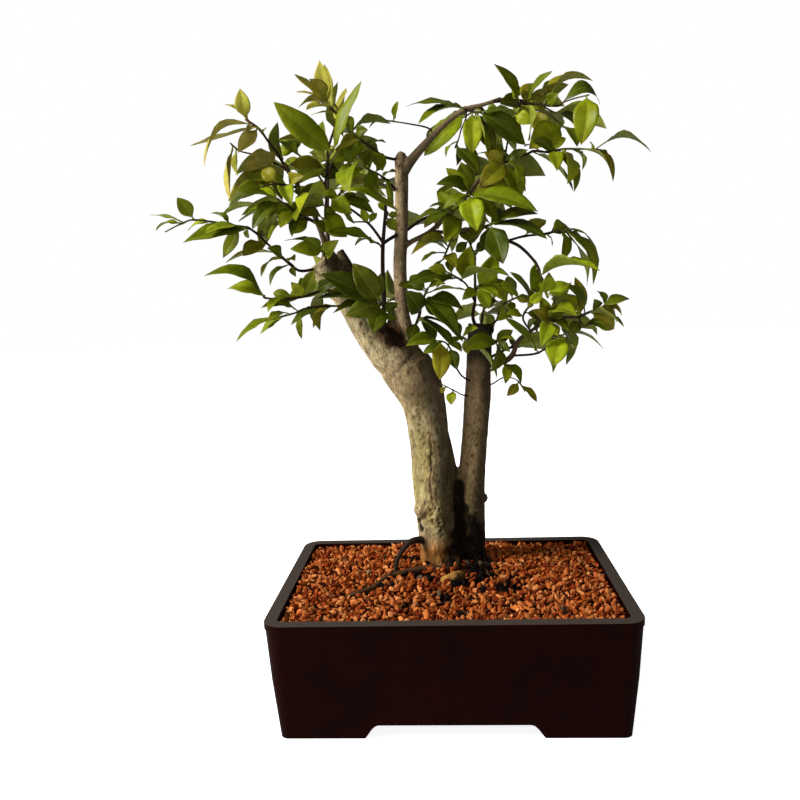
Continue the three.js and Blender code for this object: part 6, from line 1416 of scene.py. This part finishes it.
def leaf_shell(leaf, chance):
    """The points of a leaf, and for each one the mm across and along, and the share along."""
    fold, phase, waves, wave, sickle, twist, cup, droop = (
        chance.uniform(low, high) for low, high in LEAF_CHANCES)
    stalk = min(STALK / leaf.length, LONGEST_STALK)
    # The rows lie closer together at the foot and at the tip, where the outline bends most
    even = (1 - np.cos(np.linspace(0.12, 1, ALONG - 2) * math.pi)) / 2
    s = np.concatenate([[0, stalk * 0.6], stalk + (1 - stalk) * even])[:, None]
    s[-1] = 1
    blade = np.clip((s - stalk * 0.75) / (1 - stalk * 0.75), 0, 1)
    outline = blade ** BASE_POWER * (1 - blade) ** TIP_POWER / PEAK
    width = np.maximum(leaf.width / 2 * outline, STALK_RADIUS * (1 - s) + LEAF_EDGE) * ACROSS
    body = smoothstep(s, stalk, stalk + 1 / 6)  # 0 on the stalk, 1 on the blade

    # The halves fold up, the edges wave, and the whole blade is twisted, bent sideways and bowed
    waving = np.sin(waves * 2 * math.pi * s + phase + (ACROSS > 0) * 1.3)
    lift = (fold * np.abs(width) * body - cup * np.abs(width * ACROSS)
            + wave * leaf.width * body * (1 - s) * ACROSS ** 2 * waving)
    turn = twist * np.sin(math.pi * s)
    out = width * np.cos(turn) - lift * np.sin(turn) + sickle * leaf.length * np.sin(math.pi * s)
    bow = leaf.arch * 4 * s * (1 - s) + droop * (np.sin(math.pi * s) - s ** 3 * (1 - s))
    up = width * np.sin(turn) + lift * np.cos(turn) + leaf.length * bow

    # The top has a groove along the midrib, the underside a keel, and the stalk is round
    rib = np.exp(-(ACROSS / RIB_SHARE) ** 2)
    round_stalk = STALK_RADIUS * 0.9 * (1 - body) * np.sqrt(1 - ACROSS ** 2)
    thick = LEAF_THICKNESS / 2 * (1 - 0.6 * np.abs(ACROSS)) + round_stalk
    middle = (leaf.foot + s * leaf.length * leaf.along)[:, None, :] + out[:, :, None] * leaf.side
    points = [middle + rise[:, :, None] * leaf.normal for rise in (
        up + thick - GROOVE * rib * body, up - thick - KEEL * rib * (1 - s) * body)]
    share = np.broadcast_to(s, width.shape)
    marks = np.stack([width, share * leaf.length, share], axis=-1).reshape(-1, 3)
    return np.concatenate(points).reshape(-1, 3), np.tile(marks, (2, 1))


# %% [markdown]
# ## The colours of the leaves
#
# A grown leaf is mid green to dark green above and paler below. New ones are yellow-green, and the
# very youngest are olive and tan with red-brown tips. Each leafy stem has a typical colour, read
# from the photograph, and each leaf departs from it by chance.

# %% Colours of the leaves
LEAF_COLOURS = {
    "dark": ("#4a5406", "#545a08", "#424e05"),
    "mid": ("#6b7408", "#777e0a", "#606c08"),
    "olive": ("#7c7616", "#716e10", "#86801a"),
    "bright": ("#899612", "#98a016", "#7d8a10"),
    "young": ("#aaa43e", "#a09e38", "#b4a84c"),
}
STEM_TONES = {
    "spray_dark_twig_left": "dark", "spray_low_right_dark": "dark", "spray_leader_low": "dark",
    "spray_upright_bright": "bright", "twig_curved_stem": "bright", "twig_right_low": "bright",
    **dict.fromkeys(YOUNG_STEMS, "young"),
}
OTHER_TONES = {"mid": 0.46, "bright": 0.19, "dark": 0.16, "olive": 0.19}  # on the other stems
TIP_REDNESS = {"young": 0.5, "olive": 0.3, "bright": 0.2, "mid": 0.1, "dark": 0.05}
TIP_RED, YOUNG_TIP, DRY_TIP = "#8a4a26", "#b09048", "#2e1c0e"
UNDERSIDE, YOUNG_UNDERSIDE, LEAF_BASE = "#8f9644", "#a39a50", "#7d8a2c"
DRY_SHARE = 0.16  # of the leaves have a tip that died back
FULL_GROWN = 46  # length past which a leaf has lost its olive tint


def leaf_colours(name, length, share, chance):
    """The colour of each point of a leaf, given how far along it the point is."""
    tone = STEM_TONES.get(name)
    if tone is None:
        tone = chance.choices(list(OTHER_TONES), list(OTHER_TONES.values()))[0]
    if tone == "olive" and length > FULL_GROWN:
        tone = "mid"
    base = np.array(to_linear(chance.choice(LEAF_COLOURS[tone]))[:3]) * chance.uniform(0.85, 1.15)
    colours = np.tile(base, (len(share), 1))
    red = TIP_REDNESS[tone] * chance.uniform(0.3, 1.2)
    tip = YOUNG_TIP if tone == "young" else TIP_RED
    colours = mix(colours, tip, red * smoothstep(share, 0.72, 1))
    colours = mix(colours, tip, 0.3 * red * smoothstep(EDGE, 0.8, 1))
    if chance.random() < DRY_SHARE:
        dry_from = chance.uniform(0.84, 0.93)
        colours = mix(colours, DRY_TIP, 0.9 * smoothstep(share, dry_from, dry_from + 0.07))
    colours = mix(colours, LEAF_BASE, 0.45 * smoothstep(share, 0.14, 0))
    return mix(colours, YOUNG_UNDERSIDE if tone == "young" else UNDERSIDE, 0.45 * BELOW)


print("leaf colours:", sum(map(len, LEAF_COLOURS.values())))


# %% [markdown]
# ## The leaf's finish
#
# A fresh leaf has a thin layer of wax, so it shines softly: IOR 1.45, a roughness of about 0.4 and
# a low specular level, because the wax is matt from close by. Light comes through it, which is why
# a part of it is a translucent shader. The midrib is a pale line half a millimetre wide. Side veins
# leave it every 2.4 mm at a slant, and are drawn a little wider than real, because a true one would
# be finer than a pixel.

# %% Leaf material
VEIN_PITCH = 2.4
VEIN_SLANT = 0.75  # mm forward for each mm outward
VEIN_WOBBLE, WOBBLE_LENGTH = 1.4, 4  # mm
MIDRIB_WIDTH = 0.45
MOTTLE = 6  # mm
VEIN_GREEN, LIGHT_THROUGH = "#a0a63a", "#e8e85a"


def leaf_material(name, gloss, veins, through):
    material, add = new_material(name)
    painted = add("Attribute", {"attribute_name": "leaf_colour"})
    uv = add("UVMap", {"uv_map": "leaf_mm"})
    parts = add("SeparateXYZ", links={"Vector": uv})
    out = add("Math", {"operation": "ABSOLUTE"}, {0: parts.outputs["X"]})
    rib = add("MapRange", {"From Min": MIDRIB_WIDTH * 0.5, "From Max": MIDRIB_WIDTH * 1.6,
                           "To Min": 1, "To Max": 0}, {"Value": out})
    slanted = add("Math", {"operation": "MULTIPLY_ADD", 1: -VEIN_SLANT},
                  {0: out, 2: parts.outputs["Y"]})
    wobble = add("TexNoise", {"Scale": 1 / WOBBLE_LENGTH, "Detail": 2}, {"Vector": uv})
    bent = add("Math", {"operation": "MULTIPLY_ADD", 1: VEIN_WOBBLE}, {0: wobble, 2: slanted})
    ladder = add("Math", {"operation": "PINGPONG", 1: VEIN_PITCH / 2}, {0: bent})
    side_vein = add("MapRange", {"From Min": 0.05, "From Max": 0.42, "To Min": 1, "To Max": 0},
                    {"Value": ladder})
    vein = add("Math", {"operation": "MULTIPLY_ADD", 1: veins}, {0: side_vein, 2: rib})
    vein_paint = add("Math", {"operation": "MULTIPLY", 1: 0.20, "use_clamp": True}, {0: vein})
    place = add("TexCoord").outputs["Object"]
    mottle = add("TexNoise", {"Scale": 1 / (MOTTLE * MM), "Detail": 4, "Roughness": 0.6},
                 {"Vector": place})
    light = add("MapRange", {**NOISE_SPREAD, "To Min": 0.72, "To Max": 1.26}, {"Value": mottle})
    varied = add("VectorMath", {"operation": "SCALE"}, {0: painted, "Scale": light})
    colour = add("MixRGB", {"Color2": to_linear(VEIN_GREEN)}, {"Fac": vein_paint, "Color1": varied})
    rough = add("MapRange", {**NOISE_SPREAD, "To Min": gloss - 0.06, "To Max": gloss + 0.12},
                {"Value": mottle})
    bump = add("Bump", {"Strength": 0.35, "Distance": 0.25 * MM, "invert": True}, {"Height": vein})
    shader = add("BsdfPrincipled", {"IOR": 1.45, "Specular IOR Level": 0.13},
                 {"Base Color": colour, "Roughness": rough, "Normal": bump})
    glow = add("MixRGB", {"blend_type": "MULTIPLY", "Fac": 1.0, "Color2": to_linear(LIGHT_THROUGH)},
               {"Color1": colour})
    shine_through = add("BsdfTranslucent", links={"Color": glow})
    both = add("MixShader", {"Fac": through}, {1: shader, 2: shine_through})
    add("OutputMaterial", links={"Surface": both})
    return material


grown_leaf = leaf_material("jaboticaba_leaf_waxy", 0.36, 0.22, 0.28)
young_leaf = leaf_material("jaboticaba_leaf_young_and_thin", 0.45, 0.14, 0.35)
print("leaf finishes:", grown_leaf.name, "and", young_leaf.name)

# %% Leaves of each leafy stem
leaf_total = 0
for node, members in families.items():
    chance = random.Random(node)
    shells, marks, colours = [], [], []
    for name in members:
        for leaf in leaves[name]:
            points, own_marks = leaf_shell(leaf, chance)
            shells.append((points, LEAF_FACES))
            marks.append(own_marks[:, :2])
            colours.append(leaf_colours(name, leaf.length, own_marks[:, 2], chance))
    obj = new_object(node + "_leaves", *gather(shells))
    paint(obj.data, "leaf_colour", np.concatenate(colours))
    corners = np.empty(len(obj.data.loops), dtype=np.int32)
    obj.data.loops.foreach_get("vertex_index", corners)
    obj.data.uv_layers.new(name="leaf_mm").data.foreach_set(
        "uv", np.concatenate(marks)[corners].ravel())
    young = node in YOUNG_STEMS
    finish_piece(obj, young_leaf if young else grown_leaf, "young_leaf" if young else "leaf", node)
    leaf_total += triangles(obj)
print("leaves:", leaf_total, "triangles")


# %% [markdown]
# ## Baked clay granules
#
# The soil is a bed of hard, red-brown clay crumbs, 3 to 7 mm across. They are broken, not round, so
# each starts as a coarse ball that is cut by a few flat planes.

# %% The shape of a crumb
UNEVEN = 0.06  # of the ball's radius
CUTS, CUT_DEPTHS = 8, (0.38, 0.72)  # flat cuts, and how far from the middle they lie
LEAST_STRETCH, MOST_STRETCH = (1.05, 0.68, 0.58), (1.65, 1.0, 0.85)

ball = bmesh.new()
bmesh.ops.create_icosphere(ball, subdivisions=2, radius=1.0)
BALL_POINTS = np.array([vertex.co[:] for vertex in ball.verts])
BALL_FACES = np.array([[vertex.index for vertex in face.verts] for face in ball.faces])
ball.free()

chance = np.random.default_rng(7)


def crumb(size):
    points = BALL_POINTS * (1 + chance.uniform(-UNEVEN, UNEVEN, (len(BALL_POINTS), 1)))
    for _ in range(CUTS):
        plane = chance.normal(size=3)
        plane /= np.linalg.norm(plane)
        over = np.maximum(points @ plane - chance.uniform(*CUT_DEPTHS), 0)
        points = points - over[:, None] * plane
    points = points * chance.uniform(LEAST_STRETCH, MOST_STRETCH)
    turn, _ = np.linalg.qr(chance.normal(size=(3, 3)))
    turn *= np.sign(np.linalg.det(turn))
    return points @ turn.T * size / 2


print("a crumb has", len(BALL_FACES), "triangles")


# %% [markdown]
# The crumbs lie in a loose grid of two layers, and a ray from above finds the height of the solid
# soil at each place, so that every crumb rests on it. None lies inside a trunk or on a root. The
# solid itself stays below them as the dark bed that shows in the gaps.

# %% Places of the crumbs
CRUMB_PITCH, ROW_PITCH = 5.0, 4.4
CRUMB_SIZES = (3.3, 6.4)
ASTRAY = 1.5  # how far a crumb lies from its place in the grid, at most
CRUMB_RISE = 0.18  # share of its size by which a crumb's middle lies above the soil
UPPER_SHARE, UPPER_RISES = 0.72, (1.6, 3.2)  # of the places carry a second crumb, so much higher
BED_HALF = np.array([129.5, 92.0])  # half width and half depth of the bed at the crumbs' height
RAY_HEIGHT = 200
STANDING = ("trunk", "second_trunk", "collar", "surface_root", "knuckle_root")
STANDING_SHARE = 0.26  # of a trunk, from its foot up, lies near the bed's height
WOOD_NEAR = 9  # a part of the wood this much higher or lower doesn't matter

bed = surface_of(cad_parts["soil"])
wood_circles = np.array([
    (*limbs[name].smooth(t), limbs[name].radius(t)) for name in STANDING
    for t in np.linspace(0, 1 if name.endswith("root") else STANDING_SHARE, 24)])


def bed_height(x, y):
    place, _, _, _ = bed.ray_cast(Vector(in_metres((x, y, RAY_HEIGHT)).tolist()), Vector((0, 0, -1)))
    return None if place is None else place.z / MM


def inside_wood(x, y, z, size):
    """True where a crumb would lie inside a trunk, or hide a root that lies on the bed."""
    near = np.abs(wood_circles[:, 2] - z) < WOOD_NEAR
    away = np.hypot(wood_circles[near, 0] - x, wood_circles[near, 1] - y)
    return bool((away < wood_circles[near, 3] + size * 0.1).any())


def crumb_places():
    columns, rows = (2 * BED_HALF / (CRUMB_PITCH, ROW_PITCH)).astype(int)
    for layer in range(2):
        for j in range(rows + 1):
            for i in range(columns + 1):
                x = -BED_HALF[0] + (i + 0.5 * ((j + layer) % 2)) * CRUMB_PITCH
                y = -BED_HALF[1] + j * ROW_PITCH
                x, y = x + chance.uniform(-ASTRAY, ASTRAY), y + chance.uniform(-ASTRAY, ASTRAY)
                size = chance.uniform(*CRUMB_SIZES)
                keep = layer == 0 or chance.uniform() < UPPER_SHARE
                x, y = np.clip((x, y), size / 2 - BED_HALF, BED_HALF - size / 2)
                under = bed_height(x, y)
                if keep and under is not None:
                    z = under + size * CRUMB_RISE + layer * chance.uniform(*UPPER_RISES)
                    if not inside_wood(x, y, z, size):
                        yield x, y, z, size


crumbs = list(crumb_places())
print("crumbs:", len(crumbs), "triangles:", len(crumbs) * len(BALL_FACES))


# %% [markdown]
# Dry crumbs run from orange to brown-red. Some are sooty black. Round the foot of the trunks the
# crumbs are nearly black: partly dark peaty crumbs, partly painted shadow on the bed.

# %% Colours of the crumbs
CRUMB_COLOURS = ("#ab5c29", "#b5652c", "#98481b", "#c67c44", "#a85827", "#80330c", "#bd723c",
                 "#8c3e12", "#702809")
DARK_CRUMBS = ("#0e0805", "#090503", "#1e0f07")
GREY_CRUMBS = ("#5c4a34", "#463827", "#7d6546")
ODD_SHARE = 0.03  # of the dry crumbs are sooty or grey
GREY_IN_PATCH, DARK_ODD = 0.04, 0.7  # shares of the crumbs in the dark patches that are grey, and of the odd ones that are dark
# partly painted shadow: crumbs in a dark patch are darkened by this share
CRUMB_TINTS, PATCH_DARKER = (0.75, 1.2), 0.35
DARK_BED_PATCHES = (  # dark patches, partly peaty crumbs and partly painted shadow: u, v and reach in mm
    (407, 560, 8), (426, 581, 10), (435, 562, 8), (477, 571, 17), (490, 566, 11), (458, 586, 8),
    (445, 601, 8), (504, 589, 7), (514, 590, 6), (409, 607, 5), (375, 591, 6), (535, 614, 6),
    (462, 618, 5), (452, 566, 10), (483, 577, 9), (472, 582, 6),
)

peat_and_shadow = [(seen_point(bed, u, v), reach) for u, v, reach in DARK_BED_PATCHES]


def crumb_colour(place):
    patch_share = max(math.exp(-(float(np.linalg.norm(place - middle)) / reach) ** 4)
              for middle, reach in peat_and_shadow)
    # a crumb in a dark patch is nearly black: partly peaty, partly painted shadow
    draw = chance.uniform()
    if draw < (1 - ODD_SHARE) * patch_share:
        palette = GREY_CRUMBS if chance.uniform() < GREY_IN_PATCH else DARK_CRUMBS
    elif draw > 1 - ODD_SHARE:
        palette = DARK_CRUMBS if chance.uniform() < DARK_ODD else GREY_CRUMBS
    else:
        palette = CRUMB_COLOURS
    base = np.array(to_linear(palette[chance.integers(len(palette))])[:3])
    return base * chance.uniform(*CRUMB_TINTS) * (1 - PATCH_DARKER * patch_share)


print("peat patches:", len(peat_and_shadow))


# %% [markdown]
# Baked clay is unglazed and full of pores, so it is dull: roughness 0.9 and a low specular level.
# Fine noise of about a millimetre breaks up each crumb's colour and roughens its faces.

# %% Clay material
GRIT = 0.9  # mm
BED_BROWN = "#2c0c04"  # in the deep shade between the crumbs


def clay_material(name, own_colour=None):
    """Clay in one colour, or else in the colours that are painted on its points."""
    material, add = new_material(name)
    place = add("TexCoord").outputs["Object"]
    grit = add("TexNoise", {"Scale": 1 / (GRIT * MM), "Detail": 4, "Roughness": 0.65},
               {"Vector": place})
    light = add("MapRange", {**NOISE_SPREAD, "To Min": 0.62, "To Max": 1.25}, {"Value": grit})
    if own_colour:
        colour = to_linear(own_colour)[:3]
        varied = add("VectorMath", {"operation": "SCALE", 0: colour}, {"Scale": light})
    else:
        painted = add("Attribute", {"attribute_name": "clay_colour"})
        varied = add("VectorMath", {"operation": "SCALE"}, {0: painted, "Scale": light})
    bump = add("Bump", {"Strength": 0.6, "Distance": 0.4 * MM}, {"Height": grit})
    shader = add("BsdfPrincipled", {"Roughness": 0.9, "Specular IOR Level": 0.08},
                 {"Base Color": varied, "Normal": bump})
    add("OutputMaterial", links={"Surface": shader})
    return material


crumb_clay = clay_material("baked_clay_crumbs_dry_and_matt")
bed_clay = clay_material("baked_clay_bed_in_shade", BED_BROWN)

# %% Crumb pieces
CRUMB_PIECES = 3  # so that each stays well below 200,000 triangles

for k in range(CRUMB_PIECES):
    share = crumbs[k::CRUMB_PIECES]
    points = np.concatenate([crumb(size) + (x, y, z) for x, y, z, size in share])
    starts = np.repeat(np.arange(len(share)) * len(BALL_POINTS), len(BALL_FACES))
    faces = np.tile(BALL_FACES, (len(share), 1)) + starts[:, None]
    obj = new_object(f"clay_crumbs_{k + 1}", points, faces.tolist(), smooth=False)
    colours = [crumb_colour(np.array((x, y, z))) for x, y, z, _ in share]
    paint(obj.data, "clay_colour", np.repeat(colours, len(BALL_POINTS), axis=0))
    finish_piece(obj, crumb_clay, "baked_clay")
    print(obj.name + ":", triangles(obj), "triangles")
coat(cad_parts["soil"], bed_clay)


# %% [markdown]
# ## The pot
#
# The pot is slip-cast stoneware with a thin dark glaze: a rectangular trough with straight, tapering
# walls, a lip with a flat top, and four corner feet that are left where the underside is cut away.
# It is lofted from rounded rectangles, the gaps between the feet and the drain holes are cut with
# booleans, and a small bevel then softens every edge, as glaze does.

# %% The pot's sizes
POT_WIDTH, POT_DEPTH, POT_HEIGHT = 280, 205, 92
POT_TAPER, POT_CORNER, LEAST_CORNER = 8.4, 15, 4
RIM_WIDTH, RIM_BAND, RIM_STEP = 10, 5.5, 1.6  # the lip's width, height and slanted lower edge
NECK, BELLY = 0.9, 3.6  # how far the wall lies inside the lip, below it and at half height
WALL, FLOOR_TOP, INSIDE_DRAFT = 8, 17.5, 1
FOOT_HEIGHT, FOOT_GAPS, FOOT_SLOPE = 11, (67, 48), 7.5
FOOT_ROUND = 3.5  # radius of the hollow corners over a gap between the feet
DRAIN_RADIUS, DRAIN_X, DRAIN_SIDES = 11, 62, 40
CORNER_STEPS = 14
SOFT_EDGE = 1.8
print("pot:", POT_WIDTH, "x", POT_DEPTH, "x", POT_HEIGHT, "mm")


# %% Rings, lofts and cuts
def pot_ring(inset, z):
    radius = max(POT_CORNER - inset, LEAST_CORNER)
    x, y = POT_WIDTH / 2 - inset - radius, POT_DEPTH / 2 - inset - radius
    ring = []
    for turn, (cx, cy) in enumerate(((x, y), (-x, y), (-x, -y), (x, -y))):
        for i in range(CORNER_STEPS + 1):
            angle = (turn + i / CORNER_STEPS) * math.pi / 2
            ring.append((cx + math.cos(angle) * radius, cy + math.sin(angle) * radius, z))
    return ring


def loft(rings):
    """A closed body through rings of points, with a flat face on the first and on the last."""
    count = len(rings[0])
    ends = [tuple(reversed(range(count))), tuple(range((len(rings) - 1) * count, len(rings) * count))]
    return np.concatenate(rings), ends[:1] + ring_faces(len(rings), count) + ends[1:]


def cut_away(obj, outline, low, high, order):
    """
    Cuts a bar out of a piece. The bar's points are outline a, outline b and level from low to
    high, and order says which of the three is x, which is y and which is z.
    """
    rings = [[[(a, b, level)[i] for i in order] for a, b in outline] for level in (low, high)]
    cutter = new_object("cutter", *loft(rings))
    mesh = bmesh.new()
    mesh.from_mesh(cutter.data)
    bmesh.ops.recalc_face_normals(mesh, faces=mesh.faces)
    mesh.to_mesh(cutter.data)
    mesh.free()
    add_modifier(obj, "BOOLEAN", object=cutter, solver="EXACT")
    apply_modifiers(obj)
    bpy.data.objects.remove(cutter)


def foot_gap(half):
    """Half a gap's outline with a rounded upper corner, and its mirror image."""
    inner = half - FOOT_SLOPE
    slope = FOOT_SLOPE / FOOT_HEIGHT
    right = [(half, -1), (half, 0)]
    for share in (1, 0.5, 0.2, 0):
        down = FOOT_ROUND * share ** 2
        right.append((inner + slope * down - FOOT_ROUND * (1 - share) ** 2, FOOT_HEIGHT - down))
    return right + [(-x, z) for x, z in reversed(right)]


# %% Loft, cut and soften
ALONG_X, ALONG_Y, ALONG_Z = (2, 0, 1), (0, 2, 1), (0, 1, 2)
BEYOND = 5  # how far a drain hole's cutter runs past the floor

lip = POT_HEIGHT - RIM_BAND
pot = new_object("pot_body", *loft([
    pot_ring(POT_TAPER, 0), pot_ring(BELLY, POT_HEIGHT / 2),
    pot_ring(NECK, lip + 0.4 - RIM_STEP), pot_ring(0, lip + 0.4),
    pot_ring(0, POT_HEIGHT), pot_ring(RIM_WIDTH, POT_HEIGHT),
    pot_ring(POT_TAPER + WALL + INSIDE_DRAFT, FLOOR_TOP)]))
front_gap, side_gap = FOOT_GAPS
cut_away(pot, foot_gap(front_gap), -POT_DEPTH, POT_DEPTH, ALONG_Y)
cut_away(pot, foot_gap(side_gap), -POT_WIDTH, POT_WIDTH, ALONG_X)
for x in (-DRAIN_X, DRAIN_X):
    circle = [(x + math.cos(angle) * DRAIN_RADIUS, math.sin(angle) * DRAIN_RADIUS)
              for angle in np.arange(DRAIN_SIDES) * 2 * math.pi / DRAIN_SIDES]
    cut_away(pot, circle, -BEYOND, FLOOR_TOP + BEYOND, ALONG_Z)
add_modifier(pot, "BEVEL", width=SOFT_EDGE * MM, segments=4, limit_method="ANGLE",
             angle_limit=math.radians(30))
add_modifier(pot, "WEIGHTED_NORMAL", keep_sharp=True)
apply_modifiers(pot)
print("pot:", triangles(pot), "triangles")


# %% [markdown]
# The glaze is a nearly black brown. It is satin, not glossy. The clay below is grainy, so the surface
# has tiny dimples and a few pale specks. Every face that looks up, the rim's flat top most of all, is
# painted a dull grey-brown: a painted reflection of the bright light from above.

# %% Stoneware material
GLAZE_CLOUD, GLAZE_GRAIN, SPECK_PITCH = 34, 1.4, 3.2  # mm
# the last colour is a painted reflection on the faces that look up
GLAZE_DARK, GLAZE_LIGHT, SPECK, RIM_TOP_SHEEN = "#100201", "#180301", "#4a3a30", "#423a33"

stoneware, add = new_material("stoneware_dark_satin_glaze")
place = add("TexCoord").outputs["Object"]
cloud = add("TexNoise", {"Scale": 1 / (GLAZE_CLOUD * MM), "Detail": 5, "Roughness": 0.6},
            {"Vector": place})
glaze = add("ValToRGB", links={"Fac": cloud})
set_stops(glaze, 0.35, GLAZE_DARK, 0.65, GLAZE_LIGHT)
specks = add("TexVoronoi", {"Scale": 1 / (SPECK_PITCH * MM)}, {"Vector": place})
speck = add("MapRange", {"From Min": 0.05, "From Max": 0.12, "To Min": 0.2, "To Max": 0},
            {"Value": specks})
speckled = add("MixRGB", {"Color2": to_linear(SPECK)}, {"Fac": speck, "Color1": glaze})
facing = add("NewGeometry").outputs["Normal"]
upward = add("SeparateXYZ", links={"Vector": facing}).outputs["Z"]
# painted reflection: faces that look up are lightened to a dull grey-brown
upward_sheen = add("MapRange", {"From Min": 0.55, "From Max": 0.95, "To Max": 0.85}, {"Value": upward})
sheened = add("MixRGB", {"Color2": to_linear(RIM_TOP_SHEEN)}, {"Fac": upward_sheen, "Color1": speckled})
rough = add("MapRange", {**NOISE_SPREAD, "To Min": 0.42, "To Max": 0.58}, {"Value": cloud})
grain = add("TexNoise", {"Scale": 1 / (GLAZE_GRAIN * MM), "Detail": 5, "Roughness": 0.6},
            {"Vector": place})
bump = add("Bump", {"Strength": 0.25, "Distance": 0.2 * MM}, {"Height": grain})
shader = add("BsdfPrincipled", {"IOR": 1.5, "Specular IOR Level": 0.02},
             {"Base Color": sheened, "Roughness": rough, "Normal": bump})
add("OutputMaterial", links={"Surface": shader})
finish_piece(pot, stoneware, "stoneware", "pot")
print("glaze on", triangles(pot), "triangles")


# %% [markdown]
# ## The drain screens
#
# A square of moulded plastic mesh keeps the crumbs from falling through each drain hole. It is seen
# only from below. Its solid already has the mesh's holes, so it stays, and gets a dull dark plastic
# with the faint waves that moulding leaves.

# %% Screen material
MOULD_WAVE = 5  # mm

screen_plastic, add = new_material("polypropylene_mesh_moulded")
place = add("TexCoord").outputs["Object"]
waves = add("TexNoise", {"Scale": 1 / (MOULD_WAVE * MM), "Detail": 3}, {"Vector": place})
shades = add("ValToRGB", links={"Fac": waves})
set_stops(shades, 0.3, "#242624", 0.7, "#333633")
ripple = add("Bump", {"Strength": 0.2, "Distance": 0.1 * MM}, {"Height": waves})
shader = add("BsdfPrincipled", {"Roughness": 0.55, "IOR": 1.49},
             {"Base Color": shades, "Normal": ripple})
add("OutputMaterial", links={"Surface": shader})
for name in ("drain_screen_left", "drain_screen_right"):
    coat(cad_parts[name], screen_plastic)
print("finishes:", sorted(material.name for material in bpy.data.materials if material.users))
